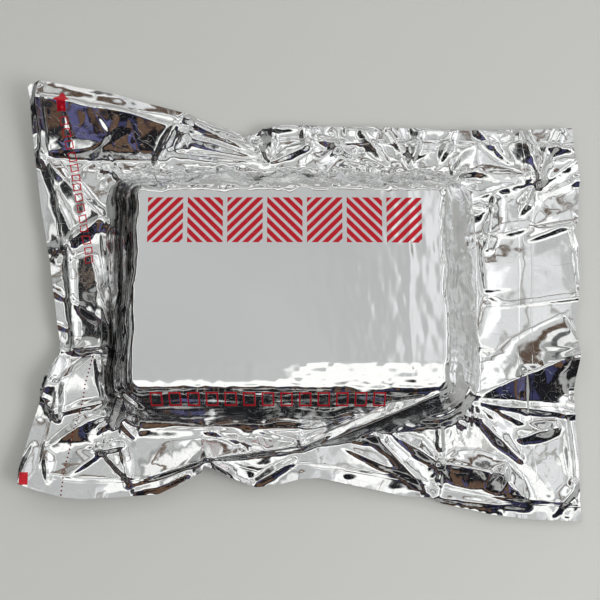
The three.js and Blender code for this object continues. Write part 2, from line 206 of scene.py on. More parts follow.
# Where the flat panel's share s across and t up lies when only its rim is placed
def overRim(sides, s, t):
    s, t = np.asarray(s)[..., None], np.asarray(t)[..., None]
    near, far = along(sides["near"], s[..., 0]), along(sides["far"], s[..., 0])
    left, right = along(sides["left"], t[..., 0]), along(sides["right"], t[..., 0])
    c00, c10 = sides["near"][0], sides["near"][-1]
    c01, c11 = sides["far"][0], sides["far"][-1]
    corners = (1 - s) * (1 - t) * c00 + s * (1 - t) * c10 + (1 - s) * t * c01 + s * t * c11
    return (1 - t) * near + t * far + (1 - s) * left + s * right - corners


# Numbers on a square grid over the plan, read smoothly between its points
class Grid:
    def __init__(self, x0, y0, step, z):
        self.x0, self.y0, self.step, self.z = x0, y0, step, z

    def at(self, x, y):
        u = np.clip((x - self.x0) / self.step, 0, self.z.shape[1] - 1.001)
        v = np.clip((y - self.y0) / self.step, 0, self.z.shape[0] - 1.001)
        i, j = v.astype(int), u.astype(int)
        fv, fu = v - i, u - j
        low = self.z[i, j] * (1 - fu) + self.z[i, j + 1] * fu
        high = self.z[i + 1, j] * (1 - fu) + self.z[i + 1, j + 1] * fu
        return low * (1 - fv) + high * fv


# The mean of each point's four neighbours
def around(z, edge):
    padded = np.pad(z, 1, mode=edge)
    return (padded[:-2, 1:-1] + padded[2:, 1:-1] + padded[1:-1, :-2] + padded[1:-1, 2:]) / 4


# The CAD film's outer surface, and the same with its folds eased out of the flange
def cadHeights(node, fromAbove, step=0.002):
    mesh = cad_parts[node].data
    tree = BVHTree.FromPolygons([v.co for v in mesh.vertices], [list(p.vertices) for p in mesh.polygons])
    (x0, y0, _), (x1, y1, _) = cadBounds
    x0, y0 = x0 - 0.01, y0 - 0.01
    columns, rows = int((x1 - x0 + 0.01) / step) + 2, int((y1 - y0 + 0.01) / step) + 2
    start, way = (film["high"], Vector((0, 0, -1))) if fromAbove else (-film["high"], Vector((0, 0, 1)))
    z = np.full((rows, columns), np.nan)
    for row in range(rows):
        for column in range(columns):
            hit = tree.ray_cast(Vector((x0 + column * step, y0 + row * step, start)), way)[0]
            if hit:
                z[row, column] = hit.z
    inside = np.isfinite(z)
    while np.isnan(z).any():  # past the rim, the nearest heights carry on
        padded = np.pad(z, 1, constant_values=np.nan)
        shifts = [(i, j) for i in range(3) for j in range(3)]
        near = np.stack([padded[i : rows + i, j : columns + j] for i, j in shifts])
        count = np.isfinite(near).sum(axis=0)
        mean = np.nansum(near, axis=0) / np.maximum(count, 1)
        z = np.where(np.isnan(z) & (count > 0), mean, z)
    x, y = np.meshgrid(x0 + step * np.arange(columns), y0 + step * np.arange(rows))
    deep = inside.astype(float)
    for _ in range(film["rimRows"]):
        deep = np.minimum(deep, around(deep, "edge") > 0.999)
    loose = (deep > 0) & (pastFace(x, y) > block["run"] - 0.001)
    eased = z.copy()
    for _ in range(film["easing"]):
        eased[loose] = around(eased, "edge")[loose]
    return Grid(x0, y0, step, z), Grid(x0, y0, step, eased)


# Points over the flat panel: evenly along its edges, and loosely spread inside
def scattered(width, depth, spacing, random):
    across, up = round(width / spacing), round(depth / spacing)
    s, t = np.linspace(0, 1, across + 1), np.linspace(0, 1, up + 1)
    edge = [(u, v) for u in s for v in (0.0, 1.0)] + [(u, v) for u in (0.0, 1.0) for v in t[1:-1]]
    rows = int((depth - spacing) / (spacing * 0.87))
    inner = []
    for row in range(rows):
        y = spacing * 0.6 + (depth - 1.2 * spacing) * row / (rows - 1)
        for column in range(across):
            x = spacing * (column + 0.35 + 0.5 * (row % 2))
            if x < width - 0.6 * spacing:
                inner.append((x / width, y / depth))
    inner = np.array(inner)
    inner += random.uniform(-0.24, 0.24, inner.shape) * spacing / np.array([width, depth])
    return np.vstack([edge, np.clip(inner, 0.35 * spacing / width, 1 - 0.35 * spacing / width)]), len(edge)


# Triangles of the panel's points, and their edges sorted into groups that share no point
def triangulate(flat):
    result = delaunay_2d_cdt([Vector(p) for p in flat], [], [], 0, 1e-9)
    kept = np.array([origin[0] for origin in result[3]])
    triangles = kept[np.array([face for face in result[2] if len(face) == 3])]
    ends = np.sort(np.vstack([triangles[:, [0, 1]], triangles[:, [1, 2]], triangles[:, [2, 0]]]), axis=1)
    edges = np.unique(ends, axis=0)
    used = [0] * len(flat)
    colour = np.zeros(len(edges), int)
    for number, (a, b) in enumerate(edges.tolist()):
        free = ~(used[a] | used[b])
        bit = free & -free
        used[a] |= bit
        used[b] |= bit
        colour[number] = bit.bit_length() - 1
    return triangles, [edges[colour == c] for c in range(colour.max() + 1)]


# How far each place of the panel slides in plan when the film is drawn down over the block
def layOut(sides, surface):
    random = np.random.default_rng(film["seed"])
    size = np.array(film["flat"])
    flat, rimCount = scattered(*film["flat"], film["coarse"], random)
    triangles, groups = triangulate(flat)
    start = overRim(sides, flat[:, 0], flat[:, 1])
    points = start.copy()
    edges = []
    for group in groups:
        a, b = group[:, 0], group[:, 1]
        edges.append((a, b, np.linalg.norm((flat[b] - flat[a]) * size, axis=1)))
    for _ in range(film["rounds"]):
        points[:, 2] = surface.at(points[:, 0], points[:, 1])
        for a, b, rest in edges:
            d = points[b] - points[a]
            off = 0.5 * (1 - rest / (np.sqrt(np.einsum("ij,ij->i", d, d)) + 1e-9))
            off[off < 0] *= film["give"]
            d *= off[:, None]
            points[a] += d
            points[b] -= d
        points[:rimCount] = start[:rimCount]
    slide = (points - start)[:, :2]
    lifted = [np.column_stack([flat, slide[:, k]]).tolist() for k in (0, 1)]
    return [BVHTree.FromPolygons(corners, triangles.tolist()) for corners in lifted]


# The height of a triangulated surface over each place
def read(tree, s, t, aside=0.0002):
    out = np.zeros(len(s))
    down = Vector((0, 0, -1))
    for number, (u, v) in enumerate(zip(s.tolist(), t.tolist())):
        hit = tree.ray_cast(Vector((u, v, 1)), down)[0]
        if not hit:  # a ray can slip through between two triangles
            hit = tree.ray_cast(Vector((u + aside, v + aside / 2, 1)), down)[0]
        if hit:
            out[number] = hit.z
    return out


# Heights from -1 to 1 with flat facets and straight creases between them
def facetField(spacing, seed, x, y):
    random = np.random.default_rng(seed)
    (x0, y0, _), (x1, y1, _) = cadBounds
    xs = np.arange(x0 - 3 * spacing, x1 + 3 * spacing, spacing)
    ys = np.arange(y0 - 3 * spacing, y1 + 3 * spacing, spacing)
    px, py = [a.ravel() for a in np.meshgrid(xs, ys)]
    px = px + random.uniform(-0.48, 0.48, len(px)) * spacing
    py = py + random.uniform(-0.48, 0.48, len(py)) * spacing
    height = random.uniform(-1, 1, len(px))
    result = delaunay_2d_cdt([Vector(p) for p in zip(px, py)], [], [], 0, 1e-9)
    kept = [origin[0] for origin in result[3]]
    squash = 0.0001  # a nearly flat surface is read much faster than a steep one
    corners = [(v.x, v.y, squash * height[k]) for v, k in zip(result[0], kept)]
    return read(BVHTree.FromPolygons(corners, result[2]), x, y) / squash


# Smooth heights from -1 to 1 that change over stepX and stepY
def waves(x, y, stepX, stepY, seed):
    random = np.random.default_rng(seed)
    lattice = random.uniform(-1, 1, (256, 256))
    u, v = x / stepX, y / stepY
    i, j = np.floor(u).astype(int), np.floor(v).astype(int)
    fu, fv = u - i, v - j
    fu, fv = fu * fu * (3 - 2 * fu), fv * fv * (3 - 2 * fv)

    def corner(a, b):
        return lattice[(i + a) % 256, (j + b) % 256]

    low = corner(0, 0) * (1 - fu) + corner(1, 0) * fu
    high = corner(0, 1) * (1 - fu) + corner(1, 1) * fu
    return low * (1 - fv) + high * fv


# Creases of the front film. Each is a ridge with two flanks: the shade flank falls away to the near left,
# where the room is dark, and the lit flank to the far right, where the window is. Places are in the
# photograph's frame, and rises (at the start, middle and end) and widths are in millimetres.
creases = [
    # name, from, to, rise, shade width, lit width
    # Far left corner
    ("farBand", (38, 101), (190, 122), (22, 24, 12), 62, 50),
    ("pocketStep", (80, 112), (168, 124), (0, 3, 0), 14, 5),
    ("pocketBrown", (66, 116), (72, 152), (2, 4, 1), 20, 4),
    ("pocketLump", (98, 118), (116, 150), (1, 2, 0), 14, 3),
    ("pocketLump2", (134, 128), (140, 155), (1, 2, 0), 10, 3),
    ("pocketHollow", (46, 158), (160, 160), (-3, -6, -3), 14, 10),
    ("sideSeal", (38, 90), (42, 160), (5, 4, 3), 5, 9),
    ("whitePleat", (42, 157), (110, 224), (4, 7, 3), 24, 12),
    ("underPleat", (50, 180), (76, 244), (1, 5, 2), 12, 9),
    ("pleatSide", (66, 170), (92, 200), (1, 3, 1), 6, 5),
    ("archTop", (186, 121), (268, 160), (4, 8, 1), 7, 12),
    ("archInner", (181, 135), (264, 160), (3, 7, 1), 9, 7),
    ("archLow", (166, 152), (264, 163), (2, 5, 1), 6, 6),
    ("cornerTuck", (156, 164), (180, 125), (4, 7, 4), 10, 8),
    ("cornerTuck2", (166, 158), (192, 131), (2, 4, 2), 5, 5),
    # Pucker on the far side
    ("puckerUp", (270, 160), (274, 128), (0, 7, 7), 15, 8),
    ("puckerRight", (272, 163), (308, 146), (0, 6, 4), 9, 10),
    ("puckerFlap", (303, 127), (306, 146), (4, 5, 2), 7, 9),
    ("farFold1", (320, 138), (352, 154), (3, 6, 1), 9, 9),
    ("farFold2", (318, 162), (345, 142), (0, 5, 3), 8, 8),
    ("farFold3", (362, 133), (387, 162), (4, 6, 2), 10, 9),
    ("farFold7", (333, 132), (336, 150), (4, 4, 0), 9, 6),
    ("shoulder", (362, 160), (408, 182), (1, 5, 2), 8, 11),
    ("shoulder2", (350, 166), (392, 184), (1, 3, 1), 5, 7),
    ("farFold4", (420, 133), (410, 166), (5, 6, 1), 12, 8),
    ("farFold8", (388, 131), (402, 150), (4, 4, 1), 8, 8),
    ("farFold5", (454, 131), (440, 162), (4, 6, 2), 11, 9),
    ("farFold6", (478, 132), (508, 162), (5, 6, 2), 11, 12),
    ("rimBrown1", (346, 129), (374, 132), (4, 5, 4), 14, 3),
    ("rimBrown2", (412, 129), (446, 131), (4, 5, 4), 11, 3),
    ("rimBrown3", (476, 131), (506, 134), (4, 6, 5), 15, 3),
    ("rimDark", (262, 130), (298, 128), (4, 5, 3), 8, 3),
    # Far right corner
    ("rimOlive", (544, 147), (570, 149), (3, 5, 3), 10, 4),
    ("upperFan", (446, 198), (532, 181), (2, 5, 4), 17, 22),
    ("upperFan2", (452, 172), (528, 178), (1, 3, 3), 9, 12),
    ("upperDip", (520, 133), (539, 182), (13, 15, 5), 28, 12),
    ("starUp", (546, 148), (538, 184), (5, 8, 4), 11, 13),
    ("starRight", (538, 187), (578, 160), (3, 5, 5), 12, 16),
    ("starLow", (540, 196), (578, 181), (1, 2, 2), 7, 11),
    ("starDown", (531, 190), (518, 218), (4, 5, 0), 10, 11),
    ("farTip", (560, 131), (548, 160), (4, 5, 1), 9, 9),
    ("knot", (408, 190), (440, 178), (2, 5, 1), 7, 6),
    ("knotTail", (438, 202), (464, 174), (1, 6, 2), 7, 8),
    ("sidePocket", (448, 219), (484, 212), (3, 6, 4), 12, 12),
    ("sidePocket2", (468, 206), (492, 209), (1, 5, 2), 7, 9),
    ("finger", (485, 250), (494, 198), (3, 8, 4), 8, 18),
    ("hollow", (490, 238), (530, 227), (1, 3, 2), 8, 12),
    ("hollow2", (530, 239), (576, 222), (2, 3.5, 3), 8, 16),
    ("rimRoll", (570, 226), (578, 290), (1.5, 2, 1), 5, 6),
    ("panelRise", (577, 228), (581, 350), (5, 5, 4), 58, 9),
    ("panelCrease", (484, 309), (580, 298), (0.6, 1.2, 1.8), 4, 8),
    ("wallBorder", (480, 240), (486, 290), (3, 4.5, 3), 6, 46),
    ("wallBorder2", (486, 300), (476, 345), (2, 2.5, 2), 5, 44),
    ("wallBorder3", (474, 345), (473, 396), (4, 4, 5), 6, 9),
    # Right-hand pocket
    ("pocketTop", (472, 397), (582, 352), (2, 17, 20), 52, 46),
    ("pocketFold", (522, 372), (526, 412), (2, 4, 2), 12, 4),
    ("pocketLip", (480, 404), (578, 415), (1, 4, 4), 6, 9),
    # Near right corner
    ("fan1", (474, 404), (560, 502), (1.5, 2, 1.5), 14, 32),
    ("fan2", (478, 418), (520, 460), (2, 6, 2), 9, 12),
    ("fan3", (500, 412), (548, 434), (1, 3, 2), 9, 14),
    ("dome", (520, 438), (558, 427), (4, 7, 5), 12, 14),
    ("sideWave", (565, 418), (572, 484), (3, 4, 3), 8, 8),
    ("cornerFlap", (554, 514), (577, 484), (3, 5, 4), 8, 12),
    ("lensTop", (440, 463), (502, 475), (4, 12, 9), 27, 22),
    ("lensEnd", (498, 473), (529, 506), (9, 9, 2), 22, 18),
    ("lensLip", (434, 498), (526, 508), (3, 5, 2), 5, 14),
    ("lensNotch", (441, 466), (438, 494), (4, 5, 2), 9, 7),
    ("spike", (370, 430), (434, 499), (6, 10, 3), 12, 20),
    ("spikeBlue", (350, 438), (378, 436), (2, 5, 3), 10, 9),
    ("smallLens", (392, 433), (441, 465), (3, 9, 2), 11, 14),
    ("uprightCrease", (442, 390), (441, 464), (4, 5, 3), 8, 7),
    ("knotLow", (392, 419), (439, 404), (3, 8, 5), 10, 8),
    ("nearFold", (345, 448), (425, 484), (1, 5, 1), 7, 13),
    # Long fold across the near side
    ("diagonalLow", (130, 486), (208, 459), (2, 5, 6), 4, 34),
    ("diagonalMid", (208, 459), (302, 447), (6, 7, 8), 5, 26),
    ("diagonalHigh", (302, 447), (437, 386), (8, 10, 9), 7, 10),
    ("diagonalEdge", (300, 440), (430, 382), (2, 5, 3), 5, 5),
    ("rimDip", (213, 463), (250, 488), (3, 6, 3), 8, 12),
    ("rimDip2", (250, 486), (294, 461), (3, 6, 3), 8, 9),
    ("nearFoot", (140, 430), (215, 430), (3, 4, 3), 10, 12),
    ("nearFoot2", (215, 430), (330, 424), (3, 4, 1), 9, 10),
    ("nearSpray1", (205, 431), (265, 448), (1, 4, 1), 6, 9),
    ("nearSpray2", (250, 429), (302, 441), (1, 3, 1), 5, 8),
    # Near left corner
    ("flapDip", (103, 451), (130, 482), (3, 5, 2), 5, 22),
    ("flapEdge", (121, 445), (130, 481), (2, 3, 1), 5, 10),
    ("knotLeft", (98, 451), (122, 446), (3, 6, 4), 7, 8),
    ("whiteFacet", (68, 476), (102, 452), (1, 4, 2), 5, 26),
    ("fanRidge", (52, 444), (108, 408), (3, 9, 4), 22, 10),
    ("fanValley", (57, 414), (110, 400), (2, 4, 2), 5, 10),
    ("bulge", (43, 398), (63, 350), (6, 10, 7), 15, 20),
    ("bulgeTop", (60, 351), (110, 347), (5, 9, 4), 9, 15),
    ("bulgeRidge", (56, 386), (94, 356), (2, 4, 3), 26, 9),
    ("bulgeEdge", (57, 384), (59, 417), (5, 6, 4), 12, 8),
    ("bulgeFoot", (43, 398), (58, 419), (3, 6, 3), 9, 9),
    ("bulgeSide", (98, 360), (106, 402), (3, 5, 2), 9, 6),
    ("sideLine", (46, 446), (48, 480), (2, 4, 3), 7, 10),
    ("cornerTip", (34, 446), (19, 482), (2, 4, 3), 7, 12),
    # Left-hand end
    ("nodeRidge", (65, 247), (99, 220), (4, 8, 3), 12, 11),
    ("nodeLeft", (46, 248), (66, 247), (3, 6, 5), 11, 11),
    ("darkPanel", (93, 256), (113, 345), (10, 15, 10), 36, 9),
    ("panelFold", (70, 300), (104, 322), (1, 4, 1), 9, 8),
    ("sideStrip", (69, 254), (75, 342), (4, 6, 4), 9, 8),
    ("paleStripe", (103, 238), (113, 344), (3, 5, 2), 6, 6),
    ("sideBlot", (50, 288), (68, 300), (2, 5, 2), 7, 8),
    ("sideBlot2", (54, 322), (70, 330), (2, 4, 2), 6, 7),
]

# Fine creases that run out from where the film is gathered to a point
gathers = [
    # name, place, first and last direction in degrees, number, reach, rise
    ("pucker", (270, 163), (15, 165), 9, 34, 2.2),
    ("leftNode", (66, 247), (20, 330), 9, 26, 2.0),
    ("flapNode", (104, 452), (-80, 200), 9, 26, 2.0),
    ("rightNode", (473, 400), (-110, -28), 9, 55, 2.0),
    ("rightNodeUp", (473, 392), (40, 100), 4, 36, 1.4),
    ("lensNode", (441, 465), (-150, 60), 8, 30, 2.0),
    ("starNode", (536, 184), (-180, 170), 8, 30, 1.5),
    ("farRightBlock", (452, 180), (-30, 100), 9, 40, 2.6),
    ("farLeftBlock", (112, 172), (80, 210), 9, 30, 2.6),
    ("nearLeftBlock", (112, 415), (150, 300), 11, 34, 3.0),
    ("nearRightBlock", (452, 415), (-110, 10), 9, 36, 2.6),
    ("farSide1", (352, 156), (20, 170), 7, 24, 2.2),
    ("farSide2", (412, 160), (10, 170), 7, 26, 2.2),
    ("farTuck", (178, 128), (-120, 10), 6, 26, 1.8),
    ("nearSide", (240, 436), (-110, -30), 6, 30, 1.6),
    ("handleNode", (392, 420), (-160, -20), 8, 34, 2.0),
]

# Creases that climb the block's walls as well
wallCreases = [
    ("farKnot", (438, 196), (462, 172), (3, 6, 2), 8, 7),
    ("farLeftTuck", (128, 186), (110, 166), (2, 5, 2), 7, 6),
    ("nearLeftTuck", (120, 394), (146, 416), (4, 6, 3), 8, 6),
    ("nearLeftTuck2", (112, 410), (134, 436), (3, 5, 2), 7, 6),
]

# Taut folds that bridge from the flange up to the block
ribbonSlope = {"sides": 1.5, "ends": 2.5, "uneven": 0.0004}
ribbons = [
    # from, to, height at both ends and half width in metres
    ((304, 446), (439, 388), 0.020, 0.0640, 0.0050),
    ((108, 432), (122, 398), 0.020, 0.050, 0.0040),
]

# How a crease is shaped
crease = {
    "shadeWay": (-0.55, -0.83),  # the way that shade flanks face
    "fade": (0.007, 1.5),  # past its ends: length in metres and how suddenly
    "narrow": 0.4,  # share of the width where it hasn't risen yet
    "sharp": 1.35,  # one is a straight flank, more is hollow
    "furthest": (0.03, 0.06),  # past its ends and to its sides
    "startAt": (0.001, 0.005),  # of a gather's fine creases, from its centre
    "width": (2.5, 5.5),
}


# X and y of what the picture shows at a place on the smooth film
def onFilm(place, base):
    z = 0.018  # about the flange's height, to start from
    for _ in range(3):
        spot = onPlan(place, z)
        z = float(base.at(spot[0], spot[1]))
    return spot


# Both ends in plan, the rises and the widths of every crease, in metres
def allCreases(lines, fans, base):
    mm = 0.001
    rows = []
    for _, start, end, rises, shade, lit in lines:
        rows.append((onFilm(start, base), onFilm(end, base), np.array(rises) * mm, shade * mm, lit * mm))
    random = np.random.default_rng(film["seed"] + 1)
    for _, place, (first, last), number, reach, rise in fans:
        centre = onFilm(place, base)
        for k in range(number):
            turn = math.radians(first + (last - first) * (k + random.uniform(0.1, 0.9)) / number)
            way = np.array([math.cos(turn), math.sin(turn)])
            start = centre + way * random.uniform(*crease["startAt"])
            end = centre + way * reach * mm * random.uniform(0.45, 1.0)
            tall = rise * mm * random.uniform(0.5, 1.0) * random.choice([-1, 1, 1])
            width = random.uniform(*crease["width"]) * mm
            rows.append((start, end, np.array([0.7, 1, 0]) * tall, width, width * random.uniform(0.7, 1.5)))
    return rows


# The height that all the creases add at each place
def addCreases(lines, fans, x, y, base):
    total = np.zeros(len(x))
    past, aside = crease["furthest"]
    fade, sudden = crease["fade"]
    for start, end, rises, shade, lit in allCreases(lines, fans, base):
        way = end - start
        length = np.hypot(*way)
        way = way / length
        side = np.array([-way[1], way[0]])
        if side @ crease["shadeWay"] < 0:
            side = -side
        dx, dy = x - start[0], y - start[1]
        t = dx * way[0] + dy * way[1]
        off = dx * side[0] + dy * side[1]
        near = (t > -past) & (t < length + past) & (np.abs(off) < aside)
        t, off = t[near], off[near]
        tall = np.interp(t / length, [0, 0.5, 1], rises)
        over = np.maximum(0, np.maximum(-t, t - length))
        tall = tall * np.clip(1 - over / fade, 0, 1) ** sudden
        share = crease["narrow"] + (1 - crease["narrow"]) * np.abs(tall) / np.abs(rises).max()
        width = np.where(off > 0, shade, lit) * share
        total[near] += tall * np.clip(1 - np.abs(off) / width, 0, 1) ** crease["sharp"]
    return total


# How crumpled the film is: each patch sets the amount round a place, in the photograph's frame
crumple = {
    "levels": [(0.032, 0.0034), (0.015, 0.0011), (0.0065, 0.00018)],  # facet size and height, in metres
    "plain": 0.8,  # amount away from every patch
    "most": 0.8,  # amount for the smaller facets
    "pull": 3,  # how strongly a patch counts in its middle
    "patches": [
        # place, reach in metres, amount
        ((530, 270), 0.052, 0.0),
        ((530, 335), 0.045, 0.0),
        ((170, 458), 0.040, 0.20),
        ((90, 480), 0.035, 0.30),
        ((340, 470), 0.045, 0.40),
        ((240, 150), 0.030, 0.5),
        ((100, 130), 0.050, 0.7),
        ((400, 150), 0.055, 1.7),
        ((80, 385), 0.030, 0.25),
        ((110, 92), 0.040, 0.0),
        ((150, 105), 0.030, 0.1),
        ((560, 470), 0.035, 0.5),
        ((330, 150), 0.045, 1.7),
        ((500, 160), 0.040, 1.2),
        ((120, 170), 0.022, 1.3),
        ((120, 415), 0.022, 2.0),
        ((430, 410), 0.022, 1.2),
        ((540, 400), 0.040, 0.3),
    ],
}


def crumpleAmount(x, y):
    amount, weight = np.full(len(x), crumple["plain"]), np.ones(len(x))
    for place, reach, value in crumple["patches"]:
        px, py = onPlan(place, 0.02)
        share = crumple["pull"] * np.exp(-((x - px) ** 2 + (y - py) ** 2) / reach**2)
        amount += share * value
        weight += share
    return amount / weight


# The film on each of the block's walls: its slope, and heights in metres
walls = {
    "slope": {"near": 1.17, "left": 1.12, "right": 1.15, "far": 1.60},
    "uneven": {"near": 0.0007, "left": 0.0012, "right": 0.0017, "far": 0.0022},
    "streak": {"near": 0.0024, "left": 0.0026, "right": 0.0008, "far": 0.0003},
    "crinkle": {"near": 0.0003, "left": 0.0004, "right": 0.0003, "far": 0.0020},
    "fine": {"near": 0.4, "left": 0.5, "right": 0.5, "far": 2.2},
    "buckle": {"near": 0.0003, "left": 0.0006, "right": 0.0012, "far": 0.0028},
    "edge": {"near": 0.0006, "left": 0.0003, "right": 0.0004, "far": 0.0014},
    "deep": {"near": 0.0, "left": 1.0, "right": 0.0, "far": 0.12},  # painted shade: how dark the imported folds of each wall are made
    "turn": 0.12,  # how gradually one wall goes over into the next
}


# A value that goes over from one side of the block to the next at its corners
def bySide(x, y, values):
    dx = (x - block["centre"][0]) / (block["half"][0] + 0.02)
    dy = (y - block["centre"][1]) / (block["half"][1] + 0.02)
    lean = ramp(np.abs(dx) - np.abs(dy), -walls["turn"], walls["turn"])
    across = np.where(dx > 0, values["right"], values["left"])
    up = np.where(dy > 0, values["far"], values["near"])
    return lean * across + (1 - lean) * up


# Gentle shapes of the pressed face and fine ones of the walls, in metres
pressed = {
    "turnFrom": 0.020,  # from here the face leans a little to the right
    "lean": 0.050,  # slope at the right-hand edge
    "ripple": (0.00019, 0.0070, 0.0200),  # height, and size across and along
    "stripFrom": -0.0750,  # the strip along the near edge, which falls a little to the near side
    "fall": (0.02, 0.14),  # its slope at the left and at the right
    "lip": (0.0042, 0.13),  # the last of it before the near wall, and how much steeper that falls
    "crease": (0.1065, 0.00025, 0.0040),  # place, height and half width of the upright crease
    "swell": 0.00012,  # broad, low waves over the whole face
    "stripWaves": 0.00022,  # fine ones along the strip
    "keep": (0.004, 0.040),  # past the face, from where to where its bend dies out
}


# Places moved a little round the block, so that its edges run unevenly
def warped(x, y):
    weight = (1 - ramp(pastFace(x, y), 0.040, 0.060)) * bySide(x, y, walls["uneven"])
    dx = waves(x, y, 0.024, 0.021, 61) + 0.35 * waves(x, y, 0.010, 0.009, 62)
    dy = waves(x, y, 0.021, 0.024, 63) + 0.45 * waves(x, y, 0.008, 0.010, 64)
    return x + weight * dx, y + weight * dy


# How far the pressed face sinks towards its right-hand and near edges
def faceBend(x, y):
    rightEnd, nearEnd = block["centre"][0] + block["half"][0], block["centre"][1] - block["half"][1]
    right = np.clip(x, pressed["turnFrom"], rightEnd) - pressed["turnFrom"]
    atLeft, atRight = pressed["fall"]
    slope = atLeft + (atRight - atLeft) * ramp(x, -0.05, 0.01)
    sunk = pressed["lean"] * right ** 2 / (2 * (rightEnd - pressed["turnFrom"]))
    sunk += slope * np.clip(pressed["stripFrom"] - y, 0, pressed["stripFrom"] - nearEnd)
    lip, lipSlope = pressed["lip"]
    lip = lip * (1 + 0.5 * waves(x, x, 0.006, 1.0, 55))
    sunk += lipSlope * np.clip(nearEnd + lip - y, 0, lip)
    return -sunk * (1 - ramp(pastFace(x, y), *pressed["keep"]))


def faceHeights(x, y):
    strip = 1 - ramp(y, pressed["stripFrom"] - 0.002, pressed["stripFrom"] + 0.002)
    tall, stepX, stepY = pressed["ripple"]
    rippled = 0.06 + ramp(x, -0.03, 0.11) + 0.2 * strip
    ripples = waves(x + 0.15 * y, y, stepX, stepY, 51) + 0.5 * waves(x, y, stepX / 2, stepY / 2, 52)
    z = tall * rippled * ripples + pressed["swell"] * waves(x, y, 0.060, 0.050, 34)
    at, high, half = pressed["crease"]
    aside = np.abs(x - at - 0.001 * waves(y, y, 0.03, 0.03, 53))
    z += high * np.clip(1 - aside / half, 0, 1) ** 1.4
    z += pressed["stripWaves"] * strip * (0.3 + ramp(x, -0.04, 0.02)) * waves(x, y, 0.0065, 0.005, 54)
    return (1 - ramp(pastFace(x, y), 0, 0.008)) * z + faceBend(x, y)


# Where the film passes from one part of the pack to the next, in metres past the face
zones = {
    "off": (0.001, 0.005),  # the face ends
    "wall": (0.001, 0.007, 0.030, 0.044),  # the wall begins and ends
    "edge": (0.0, 0.004, 0.006, 0.014),  # the rounded edge begins and ends
    "flange": (0.026, 0.046),
    "buckle": (0.001, 0.010),
    "climb": (0.002, 0.010),  # creases that climb the walls begin
    "skirt": (0.001, 0.003),  # depth and distance at which the wall's slope starts
    "taut": 0.45,  # share of the crumpling that is left inside the seals
    "sealStep": (0.0005, 0.003),  # height and half width of the step along a seal
}


def throughZone(past, start, full, waning, end):
    return ramp(past, start, full) * (1 - ramp(past, waning, end))


# Long streaks that run round the block along its walls
def wallStreaks(aroundWalls, past, drift):
    streaks = 0.6 * waves(aroundWalls, drift, 0.080, 0.0050, 31)
    return streaks + 0.45 * waves(aroundWalls + 3 * past, drift, 0.050, 0.0032, 32)


# The film drawn taut over a fold that bridges from the flange to the block
def overRibbons(z, x, y, base):
    for start, end, first, last, half in ribbons:
        start, end = onFilm(start, base), onFilm(end, base)
        length = float(np.hypot(*(end - start)))
        way = (end - start) / length
        dx, dy = x - start[0], y - start[1]
        t = dx * way[0] + dy * way[1]
        aside = np.abs(dx * way[1] - dy * way[0])
        level = first + (last - first) * np.clip(t / length, 0, 1)
        level += ribbonSlope["uneven"] * waves(t, aside, 0.012, 0.006, 37)
        beyond = np.maximum(0, np.maximum(-t, t - length))
        fall = ribbonSlope["sides"] * np.maximum(0, aside - half) + ribbonSlope["ends"] * beyond
        z = np.maximum(z, level - fall)
    return z


# The front film's height at each place, and how much of each finish and of painted shade it has there
def frontHeights(plainX, plainY, base, flat):
    x, y = warped(plainX, plainY)
    past, aroundWalls = pastFace(x, y), aroundBlock(x, y)
    onWall, onEdge = throughZone(past, *zones["wall"]), throughZone(past, *zones["edge"])
    onFlange = ramp(past, *zones["flange"])

    def side(kind):
        return bySide(x, y, walls[kind])

    inPanel = np.array(film["flat"]) * np.minimum(flat, 1 - flat)
    fromSeal = np.where(flat[:, 0] < 0.5, np.minimum(inPanel[:, 0], inPanel[:, 1]), inPanel[:, 1])
    high, half = zones["sealStep"]
    loose = zones["taut"] + (1 - zones["taut"]) * ramp(fromSeal, film["band"] - half, film["band"] + half)

    # the CAD's surface, with the walls eased to the slope of each side
    off = ramp(past, *zones["off"])
    top = float(base.at(*block["centre"]))
    z = off * base.at(x, y) + (1 - off) * top
    deep, away = zones["skirt"]
    z = np.maximum(z, top - deep - side("slope") * np.maximum(0, past - away))

    # creases and facets of the flange
    z = z + onFlange * (0.5 + 0.5 * loose) * addCreases(creases, gathers, plainX, plainY, base)
    z = z + ramp(past, *zones["climb"]) * addCreases(wallCreases, [], plainX, plainY, base)
    amount = crumpleAmount(x, y)
    for number, (spacing, height) in enumerate(crumple["levels"]):
        share = amount if number == 0 else np.minimum(amount, crumple["most"])
        z = z + onFlange * loose * share * height * facetField(spacing, 20 + number, x, y)
    z += high * onFlange * np.clip(1 - np.abs(fromSeal - film["band"]) / half, 0, 1)

    # streaks, crinkles and buckles of the walls
    drift = past + 0.0030 * waves(aroundWalls, past, 0.024, 0.015, 38)
    z = z + onWall * side("streak") * wallStreaks(aroundWalls, past, drift)
    z = z + onWall * side("crinkle") * facetField(0.0055, 33, x, y)
    z = z + ramp(past, *zones["buckle"]) * (1 - onFlange) * side("buckle") * facetField(0.0130, 36, x, y)
    z = z + onEdge * side("edge") * waves(aroundWalls, past, 0.007, 0.010, 35)
    z = overRibbons(z, plainX, plainY, base) + faceHeights(plainX, plainY)
    # where the painted shade falls: dark streaks that follow the folds round the walls
    foldShade = np.clip(0.65 + 0.8 * waves(aroundWalls, drift, 0.060, 0.0036, 39), 0, 1)
    amounts = {
        "wall": onWall,
        "crumple": onFlange * loose * amount + onWall * side("fine"),
        # painted shade in the walls' folds, most on the left wall
        "deep": onWall * side("deep") * foldShade,
    }
    return np.maximum(z, film["floor"]), amounts


